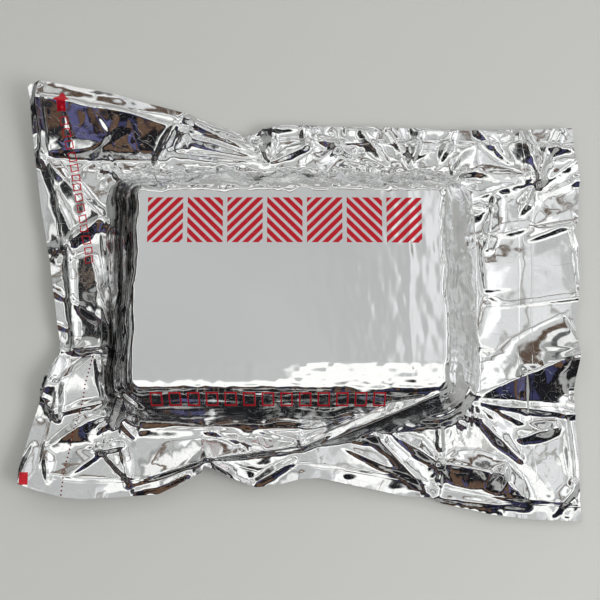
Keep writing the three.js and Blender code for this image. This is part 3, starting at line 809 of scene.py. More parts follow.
# The panel's places on the finished mesh, and where each lies in plan
def filmGrid(sides, slides):
    width, depth = film["flat"]
    columns, rows = round(width / film["spacing"]) + 1, round(depth / film["spacing"]) + 1
    s, t = [a.ravel() for a in np.meshgrid(np.linspace(0, 1, columns), np.linspace(0, 1, rows))]
    plan = overRim(sides, s, t)[:, :2]
    inS, inT = np.clip(s, 1e-5, 1 - 1e-5), np.clip(t, 1e-5, 1 - 1e-5)
    slide = np.stack([read(tree, inS, inT) for tree in slides], axis=-1)
    rim = np.minimum(np.minimum(s, 1 - s), np.minimum(t, 1 - t)) < 1e-9
    slide[rim] = 0
    return np.stack([s, t], axis=-1), plan + slide, columns, rows


def gridMesh(name, flat, points, columns, rows, up, amounts=None):
    mesh = bpy.data.meshes.new(name)
    index = np.arange(rows * columns).reshape(rows, columns)
    corners = [index[:-1, :-1], index[:-1, 1:], index[1:, 1:], index[1:, :-1]]
    if not up:
        corners.reverse()
    mesh.from_pydata(points.tolist(), [], np.stack(corners, axis=-1).reshape(-1, 4).tolist())
    uv = mesh.uv_layers.new(name="panel")
    loops = np.empty(len(mesh.loops), np.int32)
    mesh.loops.foreach_get("vertex_index", loops)
    uv.data.foreach_set("uv", ((flat - 0.5) * np.array(film["flat"]))[loops].astype(np.float32).ravel())
    mesh.polygons.foreach_set("use_smooth", np.ones(len(mesh.polygons), bool))
    for label, values in (amounts or {}).items():
        mesh.attributes.new(label, "FLOAT", "POINT").data.foreach_set("value", values.astype(np.float32))
    obj = bpy.data.objects.new(name, mesh)
    scene.collection.objects.link(obj)
    return obj


# Short ways to place nodes in a tree and join them
class Wiring:
    def __init__(self, tree):
        self.nodes, self.links = tree.nodes, tree.links

    def put(self, socket, value):
        if hasattr(value, "node"):
            self.links.new(value, socket)
        else:
            socket.default_value = value

    def math(self, kind, *values):
        node = self.nodes.new("ShaderNodeMath")
        node.operation = kind
        for socket, value in zip(node.inputs, values):
            self.put(socket, value)
        return node.outputs[0]

    def total(self, first, *rest):
        for value in rest:
            first = self.math("ADD", first, value)
        return first

    def product(self, first, *rest):
        for value in rest:
            first = self.math("MULTIPLY", first, value)
        return first

    def step(self, value, edge, soft, rising=True):
        node = self.nodes.new("ShaderNodeMapRange")
        node.interpolation_type = "SMOOTHSTEP"
        self.put(node.inputs["Value"], value)
        node.inputs["From Min"].default_value = edge - soft / 2
        node.inputs["From Max"].default_value = edge + soft / 2
        node.inputs["To Min"].default_value = 0 if rising else 1
        node.inputs["To Max"].default_value = 1 if rising else 0
        return node.outputs[0]

    def between(self, value, low, high, soft):
        return self.product(self.step(value, low, soft), self.step(value, high, soft, False))

    def remap(self, value, low, high, newLow, newHigh):
        node = self.nodes.new("ShaderNodeMapRange")
        self.put(node.inputs["Value"], value)
        for name, number in zip(("From Min", "From Max", "To Min", "To Max"), (low, high, newLow, newHigh)):
            node.inputs[name].default_value = number
        return node.outputs[0]

    def mix(self, mask, below, above):
        node = self.nodes.new("ShaderNodeMix")
        node.data_type = "RGBA"
        self.put(node.inputs[0], mask)
        for socket, value in ((node.inputs[6], below), (node.inputs[7], above)):
            self.put(socket, value if hasattr(value, "node") else (*value, 1))
        return node.outputs[2]

    def split(self, vector):
        node = self.nodes.new("ShaderNodeSeparateXYZ")
        self.links.new(vector, node.inputs[0])
        return node.outputs[0], node.outputs[1], node.outputs[2]

    def stretched(self, vector, scale):
        node = self.nodes.new("ShaderNodeMapping")
        self.links.new(vector, node.inputs["Vector"])
        node.inputs["Scale"].default_value = scale
        return node.outputs[0]

    def vector(self, kind, first, second):
        node = self.nodes.new("ShaderNodeVectorMath")
        node.operation = kind
        self.put(node.inputs[0], first)
        self.put(node.inputs[1], second)
        return node.outputs["Value"] if kind == "DOT_PRODUCT" else node.outputs["Vector"]

    def attribute(self, name):
        node = self.nodes.new("ShaderNodeAttribute")
        node.attribute_name = name
        return node.outputs["Fac"]

    def noise(self, vector, scale, detail=2.0, roughness=0.5):
        node = self.nodes.new("ShaderNodeTexNoise")
        self.links.new(vector, node.inputs["Vector"])
        self.put(node.inputs["Scale"], scale)
        node.inputs["Detail"].default_value = detail
        node.inputs["Roughness"].default_value = roughness
        return node.outputs[0]


# An empty shader group with the named inputs and outputs, and the wiring inside it
def newGroup(name, inputs, outputs):
    tree = bpy.data.node_groups.new(name, "ShaderNodeTree")
    for label, kind, value in inputs:
        socket = tree.interface.new_socket(name=label, in_out="INPUT", socket_type=kind)
        if value is not None:
            socket.default_value = value
    for label, kind in outputs:
        tree.interface.new_socket(name=label, in_out="OUTPUT", socket_type=kind)
    wiring = Wiring(tree)
    return tree, wiring, tree.nodes.new("NodeGroupInput").outputs, tree.nodes.new("NodeGroupOutput").inputs


# The foil laminate, its seals and the print on it
foil = {
    "colour": (0.905, 0.912, 0.918),
    "deep": (0.10, 0.102, 0.10),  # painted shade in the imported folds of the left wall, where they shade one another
    "dull": (0.80, 0.81, 0.82),  # where the sealing bars have pressed it
    "dullness": 0.35,
    "roughness": (0.05, 0.13),
    "smear": (28.0, 4.0),  # scale and detail of the uneven gloss
    "bump": 0.00022,  # metres for a height of one
    "sealDepth": 0.45,
}

# The finest crinkles: flat facets, each leaning its own way, by size in metres and greatest slope
crinkles = {
    "facets": [(0.016, 0.11), (0.0055, 0.05)],
    "grain": (260.0, 3.0, 0.10),  # scale, detail and height of the noise over them
    "streaks": 0.5,
    "stretch": (14, 14, 700),  # of the streaks round the walls
}


# Height of the finest crinkles, which the mesh is too coarse to carry
def crinkleGroup():
    tree, w, given, out = newGroup(
        "filmCrinkle",
        [
            ("Place", "NodeSocketVector", None),
            ("Panel", "NodeSocketVector", None),
            ("Wall", "NodeSocketFloat", 0.0),
            ("Crumple", "NodeSocketFloat", 0.0),
            ("Crinkle", "NodeSocketFloat", 1.0),
            ("Streaks", "NodeSocketFloat", 1.0),
        ],
        [("Height", "NodeSocketFloat")],
    )
    scale, detail, high = crinkles["grain"]
    crinkle = w.product(w.noise(given["Panel"], scale, detail), high)
    for size, tilt in crinkles["facets"]:
        cells = w.nodes.new("ShaderNodeTexVoronoi")
        cells.inputs["Scale"].default_value = 1 / size
        w.links.new(given["Panel"], cells.inputs["Vector"])
        away = w.vector("SUBTRACT", given["Panel"], cells.outputs["Position"])
        lean = w.vector("SUBTRACT", cells.outputs["Color"], (0.5, 0.5, 0.5))
        crinkle = w.total(crinkle, w.product(w.vector("DOT_PRODUCT", away, lean), tilt / foil["bump"]))
    crinkle = w.product(given["Crinkle"], given["Crumple"], crinkle)
    lines = w.noise(w.stretched(given["Place"], crinkles["stretch"]), 1.0, 3.0, 0.6)
    streaks = w.product(given["Streaks"], given["Wall"], lines, crinkles["streaks"])
    w.links.new(w.total(crinkle, streaks), out["Height"])
    return tree


# What the sealing bars leave: distances from the seal's inner edge, in metres, and heights
seals = {
    "edge": (-0.0012, 0.0004),
    "inner": (0.0030, 0.0040),
    "innerHeight": 0.6,
    "half": 0.0009,  # half width of the seals across the right-hand end
    "acrossHeight": 0.8,
    "soft": 0.0010,
}


# Height of the lines that the sealing bars press into both films
def sealGroup():
    tree, w, given, out = newGroup(
        "sealLines",
        [
            ("Panel", "NodeSocketVector", None),
            ("Band", "NodeSocketFloat", film["band"]),
            ("Depth", "NodeSocketFloat", 1.0),
        ],
        [("Height", "NodeSocketFloat"), ("Band mask", "NodeSocketFloat")],
    )
    x, y, _ = w.split(given["Panel"])
    halfX, halfY = film["flat"][0] / 2, film["flat"][1] / 2
    fromLeft = w.math("ADD", x, halfX)
    fromNear = w.math("ADD", y, halfY)
    fromFar = w.math("SUBTRACT", halfY, y)
    nearest = w.math("MINIMUM", fromLeft, w.math("MINIMUM", fromNear, fromFar))
    band = w.math("SUBTRACT", given["Band"], nearest)
    soft = seals["soft"]
    edge = w.between(band, *seals["edge"], soft)
    inner = w.between(band, *seals["inner"], soft)
    lines = w.total(edge, w.product(inner, seals["innerHeight"]))
    for place in film["sealLines"]:
        across = w.between(x, place - seals["half"], place + seals["half"], soft)
        lines = w.total(lines, w.product(across, seals["acrossHeight"]))
    w.links.new(w.product(lines, given["Depth"]), out["Height"])
    w.links.new(w.step(band, 0.0, soft), out["Band mask"])
    return tree


# The red print, as plain marks. Places are in the photograph's frame, the sizes in metres.
ink = {
    "colour": (0.66, 0.006, 0.022),
    "metallic": 0.35,
    "roughness": 0.20,
    "soft": 0.0004,  # how gradually its edges end
    "lineSoft": 0.0003,
    "worn": (900.0, 2.0, 0.75),  # scale and detail of the worn specks, and how much ink is left in them
    "blocks": {
        "corner": (-0.1590, 0.0470),
        "pitch": 0.0404,
        "count": 7,
        "size": (0.0360, 0.0470),
        "stripe": 0.0105,
        "inked": (0.19, 0.81),  # share of a stripe's pitch
    },
    "wallMarks": {"from": (150, 399), "to": (402, 399), "pitch": 0.0185, "size": 0.0125, "line": 0.0016},
    "sideMarks": {"from": (66, 122), "to": (92, 272), "pitch": 0.0115, "size": 0.0085, "line": 0.0012},
    "arrow": {"tip": (65, 97), "length": 0.018, "width": 0.018, "head": 0.6, "shaft": (0.5, 1.2, 0.26)},
    "square": {"centre": (23.5, 478.5), "half": (0.0042, 0.0062)},
}


# Seven blocks with slanting stripes, which lean to either side in turn
def blockMask(w, x, y):
    blocks = ink["blocks"]
    left, low = blocks["corner"]
    width, depth = blocks["size"]
    across = w.math("DIVIDE", w.math("SUBTRACT", x, left), blocks["pitch"])
    number = w.math("FLOOR", across)
    inX = w.product(w.math("FRACT", across), blocks["pitch"])
    up = w.math("SUBTRACT", y, low)
    inside = w.product(
        w.between(inX, 0.0, width, ink["soft"]),
        w.between(up, 0.0, depth, ink["soft"]),
        w.between(number, -0.5, blocks["count"] - 0.5, 0.01),
    )
    lean = w.remap(w.math("PINGPONG", number, 1.0), 0, 1, -1, 1)
    slant = w.total(w.product(inX, lean), up, 1.0)
    stripe = w.math("FRACT", w.math("DIVIDE", slant, blocks["stripe"]))
    return w.product(inside, w.between(stripe, *blocks["inked"], 0.03))


# A row of hollow squares
def rowMask(w, x, y, row, base):
    start, end = onFilm(row["from"], base), onFilm(row["to"], base)
    way = end - start
    length = float(np.hypot(*way))
    wayX, wayY = (way / length).tolist()
    whole = math.floor(length / row["pitch"]) * row["pitch"]
    dx, dy = w.math("SUBTRACT", x, float(start[0])), w.math("SUBTRACT", y, float(start[1]))
    t = w.total(w.product(dx, wayX), w.product(dy, wayY))
    off = w.total(w.product(dx, -wayY), w.product(dy, wayX))
    part = w.product(w.math("FRACT", w.math("DIVIDE", t, row["pitch"])), row["pitch"])
    half, line, soft = row["size"] / 2, row["line"], ink["lineSoft"]
    outer = w.product(w.between(part, 0.0, 2 * half, soft), w.between(off, -half, half, soft))
    inX = w.between(part, line, 2 * half - line, soft)
    inner = w.product(inX, w.between(off, line - half, half - line, soft))
    ring = w.product(outer, w.math("SUBTRACT", 1.0, inner))
    return w.product(w.between(t, 0.0, whole, ink["soft"]), ring)


def arrowMasks(w, x, y, base):
    arrow, soft = ink["arrow"], ink["soft"]
    tipX, tipY = onFilm(arrow["tip"], base).tolist()
    down = w.math("SUBTRACT", tipY, y)
    side = w.math("ABSOLUTE", w.math("SUBTRACT", x, tipX))
    head = arrow["head"] * arrow["length"]
    widest = w.product(down, arrow["width"] / 2 / head)
    first, last, half = arrow["shaft"]
    return [
        w.product(w.between(down, 0.0, head, soft), w.step(w.math("SUBTRACT", widest, side), 0.0, soft)),
        w.product(
            w.between(down, first * arrow["length"], last * arrow["length"], soft),
            w.step(side, half * arrow["width"], soft, False),
        ),
    ]


def squareMask(w, x, y, base):
    centreX, centreY = onFilm(ink["square"]["centre"], base).tolist()
    halfX, halfY = ink["square"]["half"]
    return w.product(
        w.between(w.math("SUBTRACT", x, centreX), -halfX, halfX, ink["soft"]),
        w.between(w.math("SUBTRACT", y, centreY), -halfY, halfY, ink["soft"]),
    )


def inkMask(w, place, base):
    x, y, _ = w.split(place)
    mask = blockMask(w, x, y)
    others = [rowMask(w, x, y, ink[name], base) for name in ("wallMarks", "sideMarks")]
    for other in others + arrowMasks(w, x, y, base) + [squareMask(w, x, y, base)]:
        mask = w.math("MAXIMUM", mask, other)
    scale, detail, left = ink["worn"]
    worn = w.step(w.noise(place, scale, detail), 0.30, 0.06)
    return w.product(mask, w.remap(worn, 0, 1, left, 1))


def foilMaterial(name, crinkleTree, sealTree, crinkle, streaks, printed=None):
    material = bpy.data.materials.new(name)
    material.use_nodes = True
    w = Wiring(material.node_tree)
    shader = w.nodes["Principled BSDF"]
    shader.inputs["Metallic"].default_value = 1
    place = w.nodes.new("ShaderNodeTexCoord").outputs["Object"]
    uv = w.nodes.new("ShaderNodeUVMap")
    uv.uv_map = "panel"
    lines = w.nodes.new("ShaderNodeGroup")
    lines.node_tree = crinkleTree
    w.put(lines.inputs["Place"], place)
    w.put(lines.inputs["Panel"], uv.outputs[0])
    w.put(lines.inputs["Wall"], w.attribute("wall"))
    w.put(lines.inputs["Crumple"], w.attribute("crumple"))
    lines.inputs["Crinkle"].default_value = crinkle
    lines.inputs["Streaks"].default_value = streaks
    seal = w.nodes.new("ShaderNodeGroup")
    seal.node_tree = sealTree
    w.put(seal.inputs["Panel"], uv.outputs[0])
    seal.inputs["Depth"].default_value = foil["sealDepth"]
    bump = w.nodes.new("ShaderNodeBump")
    bump.inputs["Distance"].default_value = foil["bump"]
    w.put(bump.inputs["Height"], w.total(lines.outputs["Height"], seal.outputs["Height"]))
    w.put(shader.inputs["Normal"], bump.outputs[0])
    smear = w.noise(uv.outputs[0], *foil["smear"])
    rough = w.remap(smear, 0.3, 0.75, *foil["roughness"])
    colour = w.mix(w.product(seal.outputs["Band mask"], foil["dullness"]), foil["colour"], foil["dull"])
    # painted shade: the deep attribute darkens the walls' folds
    colour = w.mix(w.attribute("deep"), colour, foil["deep"])
    if printed is not None:
        mask = inkMask(w, place, printed)
        colour = w.mix(mask, colour, ink["colour"])
        w.put(shader.inputs["Metallic"], w.remap(mask, 0, 1, 1, ink["metallic"]))
        rough = w.math("MAXIMUM", rough, w.product(mask, ink["roughness"]))
    w.put(shader.inputs["Base Color"], colour)
    w.put(shader.inputs["Roughness"], rough)
    return material


# The back film's own shape under the block, in metres
back = {
    "flange": (0.031, 0.041),  # past the face, from where to where it joins the front film
    "wall": (0.008, 0.022),
    "crease": 0.0012,
    "base": (0.0006, 0.0005),  # lowest place of its underside, and height of its facets
    "least": 0.0004,
}


# The back film lies just under the front one in the flange, and goes down to the floor under the block
def backHeights(x, y, front, under):
    past = pastFace(x, y)
    share = ramp(past, *back["flange"])
    creased = 0.35 * waves(aroundBlock(x, y), past, 0.018, 0.009, 41) + 0.25 * facetField(0.010, 42, x, y)
    low = under.at(x, y) + back["crease"] * ramp(past, *back["wall"]) * creased
    lowest, facet = back["base"]
    low = np.maximum(low, lowest + facet * (1 + facetField(0.022, 43, x, y)))
    highest = front - film["gap"]
    z = (1 - share) * low + share * highest
    return np.maximum(np.minimum(z, highest), back["least"])


# The same heights with their sharpest creases rounded a little
def softened(z, rows, columns):
    z = z.reshape(rows, columns)
    return ((1 - film["soften"]) * z + film["soften"] * around(z, "edge")).ravel()


sides = splitSides(cadRim("front_film"))
cadTop, easedTop = cadHeights("front_film", True)
cadUnder, _ = cadHeights("back_film", False)
flat, plan, columns, rows = filmGrid(sides, layOut(sides, cadTop))
print("stage: film laid out")

crinkleTree, sealTree = crinkleGroup(), sealGroup()
frontZ, amounts = frontHeights(plan[:, 0], plan[:, 1], easedTop, flat)
frontZ = softened(frontZ, rows, columns)
frontFilm = gridMesh("frontFilm", flat, np.column_stack([plan, frontZ]), columns, rows, True, amounts)
frontFilm.data.materials.append(foilMaterial("frontFoil", crinkleTree, sealTree, 0.5, 1.0, easedTop))
print("stage: front film made")

backZ = backHeights(plan[:, 0], plan[:, 1], frontZ, cadUnder)
backFilm = gridMesh("backFilm", flat, np.column_stack([plan, backZ]), columns, rows, False, amounts)
backFilm.data.materials.append(foilMaterial("backFoil", crinkleTree, sealTree, 0.7, 0.5))
print("stage: back film made")


# The tear line down the left-hand side: fine dots pressed and printed through the film
tearLine = {
    "path": [(93, 357), (85, 385), (82, 405), (72, 440), (64, 470), (61, 495)],
    "pitch": 0.0042,
    "radius": 0.0009,
    "lift": 0.0002,
    "corners": 10,  # of each dot
    "colour": (0.20, 0.012, 0.012),
    "roughness": 0.4,
}


# Dots at even steps along a line, each laid on the film under it
def dotsTree():
    tree = bpy.data.node_groups.new("dotsAlongLine", "GeometryNodeTree")
    for label, kind in (
        ("Line", "NodeSocketGeometry"),
        ("Film", "NodeSocketObject"),
        ("Pitch", "NodeSocketFloat"),
        ("Radius", "NodeSocketFloat"),
        ("Lift", "NodeSocketFloat"),
        ("Corners", "NodeSocketInt"),
        ("Ink", "NodeSocketMaterial"),
    ):
        tree.interface.new_socket(name=label, in_out="INPUT", socket_type=kind)
    tree.interface.new_socket(name="Dots", in_out="OUTPUT", socket_type="NodeSocketGeometry")
    new, link = tree.nodes.new, tree.links.new
    given, out = new("NodeGroupInput").outputs, new("NodeGroupOutput").inputs
    curve = new("GeometryNodeMeshToCurve")
    link(given["Line"], curve.inputs["Mesh"])
    points = new("GeometryNodeCurveToPoints")
    points.mode = "LENGTH"
    link(curve.outputs["Curve"], points.inputs["Curve"])
    link(given["Pitch"], points.inputs["Length"])
    target = new("GeometryNodeObjectInfo")
    link(given["Film"], target.inputs["Object"])
    hit = new("GeometryNodeRaycast")
    link(target.outputs["Geometry"], hit.inputs["Target Geometry"])
    hit.inputs["Ray Direction"].default_value = (0, 0, -1)
    above = new("ShaderNodeVectorMath")
    above.operation = "SCALE"
    link(hit.outputs["Hit Normal"], above.inputs[0])
    link(given["Lift"], above.inputs["Scale"])
    place = new("ShaderNodeVectorMath")
    place.operation = "ADD"
    link(hit.outputs["Hit Position"], place.inputs[0])
    link(above.outputs[0], place.inputs[1])
    turn = new("FunctionNodeAlignRotationToVector")
    link(hit.outputs["Hit Normal"], turn.inputs["Vector"])
    disc = new("GeometryNodeMeshCircle")
    disc.fill_type = "NGON"
    link(given["Corners"], disc.inputs["Vertices"])
    link(given["Radius"], disc.inputs["Radius"])
    lay = new("GeometryNodeInstanceOnPoints")
    link(disc.outputs["Mesh"], lay.inputs["Instance"])
    move = new("GeometryNodeSetPosition")
    link(place.outputs[0], move.inputs["Position"])
    keep = new("GeometryNodeStoreNamedAttribute")
    keep.data_type = "QUATERNION"
    keep.domain = "POINT"
    keep.inputs["Name"].default_value = "turn"
    link(points.outputs["Points"], keep.inputs["Geometry"])
    link(turn.outputs["Rotation"], keep.inputs["Value"])
    link(keep.outputs["Geometry"], move.inputs["Geometry"])
    stored = new("GeometryNodeInputNamedAttribute")
    stored.data_type = "QUATERNION"
    stored.inputs["Name"].default_value = "turn"
    link(move.outputs["Geometry"], lay.inputs["Points"])
    link(stored.outputs["Attribute"], lay.inputs["Rotation"])
    real = new("GeometryNodeRealizeInstances")
    link(lay.outputs["Instances"], real.inputs["Geometry"])
    paint = new("GeometryNodeSetMaterial")
    link(real.outputs["Geometry"], paint.inputs["Geometry"])
    link(given["Ink"], paint.inputs["Material"])
    link(paint.outputs["Geometry"], out["Dots"])
    return tree


def makeTearLine(target, base):
    paint = bpy.data.materials.new("tearInk")
    paint.use_nodes = True
    shader = paint.node_tree.nodes["Principled BSDF"]
    shader.inputs["Base Color"].default_value = (*tearLine["colour"], 1)
    shader.inputs["Roughness"].default_value = tearLine["roughness"]
    places = [onFilm(place, base) for place in tearLine["path"]]
    line = bpy.data.meshes.new("tearPath")
    steps = [(k, k + 1) for k in range(len(places) - 1)]
    line.from_pydata([(x, y, film["high"]) for x, y in places], steps, [])
    carrier = bpy.data.objects.new("tearPath", line)
    scene.collection.objects.link(carrier)
    tree = dotsTree()
    values = {
        "Film": target,
        "Pitch": tearLine["pitch"],
        "Radius": tearLine["radius"],
        "Lift": tearLine["lift"],
        "Corners": tearLine["corners"],
        "Ink": paint,
    }
    modifier = carrier.modifiers.new("dots", "NODES")
    modifier.node_group = tree
    for item in tree.interface.items_tree:
        if item.in_out == "INPUT" and item.name in values:
            modifier[item.identifier] = values[item.name]
    bpy.context.view_layer.update()
    mesh = bpy.data.meshes.new_from_object(carrier.evaluated_get(bpy.context.evaluated_depsgraph_get()))
    dots = bpy.data.objects.new("tearDots", mesh)
    scene.collection.objects.link(dots)
    bpy.data.objects.remove(carrier)
    return dots


tearDots = makeTearLine(frontFilm, easedTop)
print("stage: tear line made, %d dots" % (len(tearDots.data.vertices) // tearLine["corners"]))


# The blanket: folded in four across its width, then back and forth in eight layers
blanket = {
    "flat": (1.4, 2.0),
    "across": 4,
    "layers": 8,
    "plySteps": (26, 4),  # points along a straight run and round a turn
    "layerSteps": (18, 8),
    "pressed": 0.0015,  # how much thinner it is than its solid, at the top and the bottom
    "inset": 0.009,  # kept from the films
    "bulge": (-0.004, 0.021),  # least and most that a layer reaches past the pressed face
    "probe": 0.040,  # how far out the films are measured
    "ragged": 0.0006,
    "colour": (0.55, 0.56, 0.58),
    "shade": (0.36, 0.37, 0.39),
    "roughness": 0.95,
    "sheen": (0.6, 0.5),  # weight and roughness
    "pile": 0.0006,
    "tufts": (420.0, 4.0, 0.7),  # scale, detail and roughness of the pile's noise
    "broad": (35.0, 2.0),
}


# Points and normals of a strip that goes back and forth, with half circles at its turns
def zigzag(span, runs, pitch, straightSteps, turnSteps):
    r = pitch / 2
    points, normals = [], []
    for k in range(runs):
        height = (k - (runs - 1) / 2) * pitch
        way = 1 if k % 2 == 0 else -1
        for q in np.linspace(-1, 1, straightSteps + 1):
            points.append((way * q * (span / 2 - r), height))
            normals.append((0, way))
        if k == runs - 1:
            break
        for q in np.arange(1, turnSteps) / turnSteps:
            angle = math.pi * q
            points.append((way * (span / 2 - r + r * math.sin(angle)), height + r - r * math.cos(angle)))
            normals.append((-way * math.sin(angle), way * math.cos(angle)))
    return np.array(points), np.array(normals)


def makeBlanket(top, under):
    (_, _, z0), (_, _, z1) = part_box("blanket")
    z0, z1 = z0 + blanket["pressed"], z1 - blanket["pressed"]
    spanX, spanY = blanket["flat"][0] / blanket["across"], blanket["flat"][1] / blanket["layers"]
    layer = (z1 - z0) / blanket["layers"]
    plies, _ = zigzag(spanX, blanket["across"], layer / blanket["across"], *blanket["plySteps"])
    layers, normals = zigzag(spanY, blanket["layers"], layer, *blanket["layerSteps"])
    x = np.repeat(plies[None, :, 0], len(layers), axis=0)
    lift = plies[None, :, 1]
    y = layers[:, None, 0] + lift * normals[:, None, 0]
    z = layers[:, None, 1] + lift * normals[:, None, 1] + (z0 + z1) / 2
    # the films press the layers' ends in, most at the top and the bottom
    out = np.arange(0, blanket["probe"], 0.001)
    halfX, halfY = block["half"]
    edgeX, edgeY = block["centre"][0] + halfX + out, np.full(len(out), block["centre"][1])
    topZ, underZ = top.at(edgeX, edgeY), under.at(edgeX, edgeY)
    reach = np.minimum(np.interp(-z, -topZ, out), np.interp(z, underZ, out)) - blanket["inset"]
    reach = np.clip(reach, *blanket["bulge"])
    x = block["centre"][0] + x * (halfX + reach) / (spanX / 2)
    y = block["centre"][1] + y * (halfY + reach) / (spanY / 2)
    z = z + faceBend(x, y) * (z - z0) / (z1 - z0)
    points = np.stack([x, y, z], axis=-1).reshape(-1, 3)
    random = np.random.default_rng(film["seed"] + 5)
    points[:, :2] += blanket["ragged"] * random.normal(0, 1, (len(points), 2))
    rowCount, columnCount = x.shape
    s, t = np.meshgrid(np.linspace(0, 1, columnCount), np.linspace(0, 1, rowCount))
    share = np.column_stack([s.ravel(), t.ravel()])
    return gridMesh("foldedBlanket", share, points, columnCount, rowCount, True)


def fleeceMaterial():
    material = bpy.data.materials.new("fleece")
    material.use_nodes = True
    w = Wiring(material.node_tree)
    shader = w.nodes["Principled BSDF"]
    place = w.nodes.new("ShaderNodeTexCoord").outputs["Object"]
    tufts, broad = w.noise(place, *blanket["tufts"]), w.noise(place, *blanket["broad"])
    tone = w.remap(w.total(w.product(tufts, 0.6), w.product(broad, 0.4)), 0.3, 0.7, 0, 1)
    w.put(shader.inputs["Base Color"], w.mix(tone, blanket["shade"], blanket["colour"]))
    shader.inputs["Roughness"].default_value = blanket["roughness"]
    weight, roughness = blanket["sheen"]
    shader.inputs["Sheen Weight"].default_value = weight
    shader.inputs["Sheen Roughness"].default_value = roughness
    bump = w.nodes.new("ShaderNodeBump")
    bump.inputs["Distance"].default_value = blanket["pile"]
    w.put(bump.inputs["Height"], tufts)
    w.put(shader.inputs["Normal"], bump.outputs[0])
    return material


foldedBlanket = makeBlanket(cadTop, cadUnder)
foldedBlanket.data.materials.append(fleeceMaterial())
print("stage: blanket folded")

for piece, node, slot in (
    (frontFilm, "front_film", "front_foil"),
    (backFilm, "back_film", "back_foil"),
    (foldedBlanket, "blanket", "fleece"),
):
    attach(piece, "root")
    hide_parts(node)
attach(tearDots, "root")


# The room that the foil mirrors: panels on a ceiling plane one unit up, and the plain dome behind them
room = {
    "dome": (0.36, 0.365, 0.35),
    "zenith": (0.545, 0.555, 0.55),
    "below": (0.42, 0.42, 0.40),
    "belowDark": (0.012, 0.012, 0.013),
    "patchy": 0.13,  # how unevenly the room is lit
    "backdrop": (0.60, 0.605, 0.585),  # behind the floor, where the room itself isn't seen
    "panels": [
        # x from and to, y from and to, edge softness, colour
        ("northGlow", (-1.4, 5.0), (0.46, 1.7), 0.16, (0.60, 0.61, 0.60)),
        ("northHigh", (-3.0, 5.0), (1.5, 9.0), 0.16, (0.92, 0.92, 0.90)),
        ("window", (0.19, 2.6), (-0.50, 2.6), 0.10, (0.77, 0.78, 0.78)),
        ("nearLamp", (-0.34, 2.4), (-0.42, -0.08), 0.06, (1.12, 1.12, 1.08)),
        ("pane", (0.70, 1.15), (-0.45, 1.6), 0.20, (1.25, 1.25, 1.26)),
        ("farPane", (-0.8, 0.2), (0.60, 0.85), 0.06, (1.2, 1.2, 1.19)),
        ("leftGrey", (-3.0, -0.36), (-0.6, 3.0), 0.10, (0.33, 0.34, 0.33)),
        ("leftPane", (-0.72, -0.46), (-0.40, 1.3), 0.06, (1.0, 1.0, 0.98)),
        ("nearDark", (-60, 2.6), (-60, -0.46), 0.10, (0.010, 0.010, 0.012)),
        ("leftDark", (-60, -0.85), (-40, 0.9), 0.20, (0.025, 0.025, 0.027)),
        ("nearHaze", (-4.0, 4.0), (-5.4, -2.9), 0.50, (0.42, 0.42, 0.41)),
        ("leftHaze", (-5.4, -3.0), (-2.5, 2.5), 0.50, (0.26, 0.26, 0.255)),
        ("brown", (-1.7, -0.80), (-1.5, -0.70), 0.16, (0.10, 0.060, 0.042)),
        ("brownNear", (-0.32, 0.10), (-1.4, -0.72), 0.10, (0.14, 0.085, 0.055)),
        ("violet", (0.15, 0.75), (-1.15, -0.75), 0.16, (0.045, 0.048, 0.11)),
        ("violetLeft", (-0.65, -0.35), (-1.2, -0.6), 0.12, (0.10, 0.10, 0.22)),
        ("nearStrip", (-0.20, -0.06), (-5.0, -1.9), 0.08, (0.55, 0.55, 0.52)),
        ("leftStrip", (-2.6, -2.2), (-1.2, 0.8), 0.10, (0.36, 0.36, 0.35)),
        ("farBeam", (-2.5, 2.2), (0.39, 0.47), 0.03, (0.17, 0.13, 0.10)),
        ("farDark", (-1.2, 2.0), (2.0, 2.9), 0.10, (0.10, 0.10, 0.10)),
        ("farBeam2", (-0.28, 1.6), (1.12, 1.50), 0.06, (0.10, 0.065, 0.045)),
        ("upBeam", (0.36, 0.42), (-0.2, 1.6), 0.03, (0.34, 0.33, 0.31)),
        ("rightBeam", (1.5, 1.8), (-2.0, 2.5), 0.08, (0.10, 0.09, 0.08)),
    ],
}


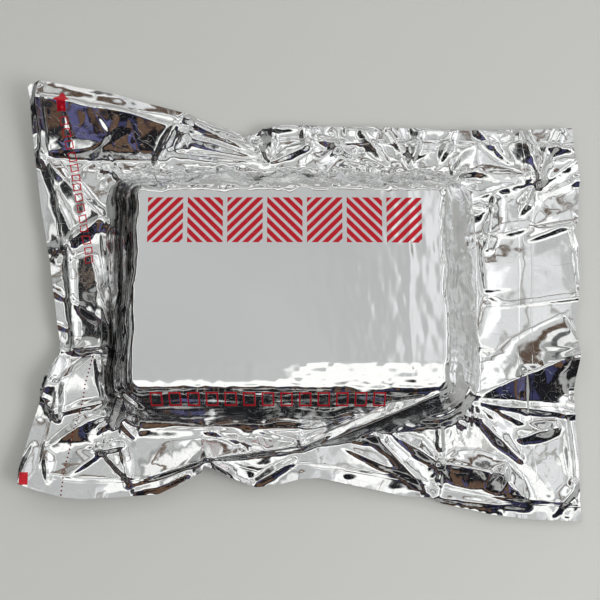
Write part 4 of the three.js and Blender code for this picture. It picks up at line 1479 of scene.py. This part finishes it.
def makeWorld():
    world = bpy.data.worlds.new("room")
    scene.world = world
    world.use_nodes = True
    w = Wiring(world.node_tree)
    way = w.nodes.new("ShaderNodeTexCoord").outputs["Generated"]
    x, y, z = w.split(way)
    height = w.math("MAXIMUM", z, 0.02)
    ceilingX, ceilingY = w.math("DIVIDE", x, height), w.math("DIVIDE", y, height)
    colour = w.mix(w.math("POWER", height, 1.5), room["dome"], room["zenith"])
    for _, acrossX, acrossY, soft, tone in room["panels"]:
        mask = w.product(w.between(ceilingX, *acrossX, soft), w.between(ceilingY, *acrossY, soft))
        colour = w.mix(mask, colour, tone)
    # Below the horizon the foil sees the pale floor, and the dark of the room past it on the near left
    toNearLeft = w.total(w.product(x, -0.65), w.product(y, -0.76))
    dark = w.product(w.step(toNearLeft, -0.1, 0.5), w.step(z, -0.92, 0.3))
    under = w.mix(dark, room["below"], room["belowDark"])
    colour = w.mix(w.step(z, 0.0, 0.04, False), colour, under)
    patchy = w.remap(w.noise(way, 3.2, 3.0), 0.3, 0.7, 1 - room["patchy"], 1 + room["patchy"])
    seen = w.nodes.new("ShaderNodeLightPath").outputs["Is Camera Ray"]
    scale = w.nodes.new("ShaderNodeVectorMath")
    scale.operation = "SCALE"
    w.put(scale.inputs[0], w.mix(seen, colour, room["backdrop"]))
    w.put(scale.inputs["Scale"], patchy)
    w.links.new(scale.outputs[0], w.nodes["Background"].inputs[0])


studio = {
    "floor": 3,  # half width in metres
    "paper": (0.80, 0.805, 0.775),
    "paperRoughness": 0.6,
    "lampAt": (1.1, -0.6, 1.5),
    "lampSize": (0.8, 0.8),
    "lampPower": 10,
}


# A pale floor and one soft lamp, both kept out of the foil's mirror
def makeStudio():
    half = studio["floor"]
    corners = [(-half, -half, 0), (half, -half, 0), (half, half, 0), (-half, half, 0)]
    floorMesh = bpy.data.meshes.new("floor")
    floorMesh.from_pydata(corners, [], [(0, 1, 2, 3)])
    floor = bpy.data.objects.new("floor", floorMesh)
    scene.collection.objects.link(floor)
    paper = bpy.data.materials.new("paper")
    paper.use_nodes = True
    shader = paper.node_tree.nodes["Principled BSDF"]
    shader.inputs["Base Color"].default_value = (*studio["paper"], 1)
    shader.inputs["Roughness"].default_value = studio["paperRoughness"]
    floorMesh.materials.append(paper)
    floor.visible_glossy = False
    lamp = bpy.data.lights.new("windowLight", "AREA")
    lamp.shape = "RECTANGLE"
    lamp.size, lamp.size_y = studio["lampSize"]
    lamp.energy = studio["lampPower"]
    holder = bpy.data.objects.new("windowLight", lamp)
    holder.location = studio["lampAt"]
    holder.rotation_euler = Vector(studio["lampAt"]).to_track_quat("Z", "Y").to_euler()
    holder.visible_glossy = False
    scene.collection.objects.link(holder)


makeWorld()
makeStudio()
scene.view_settings.view_transform = "Standard"
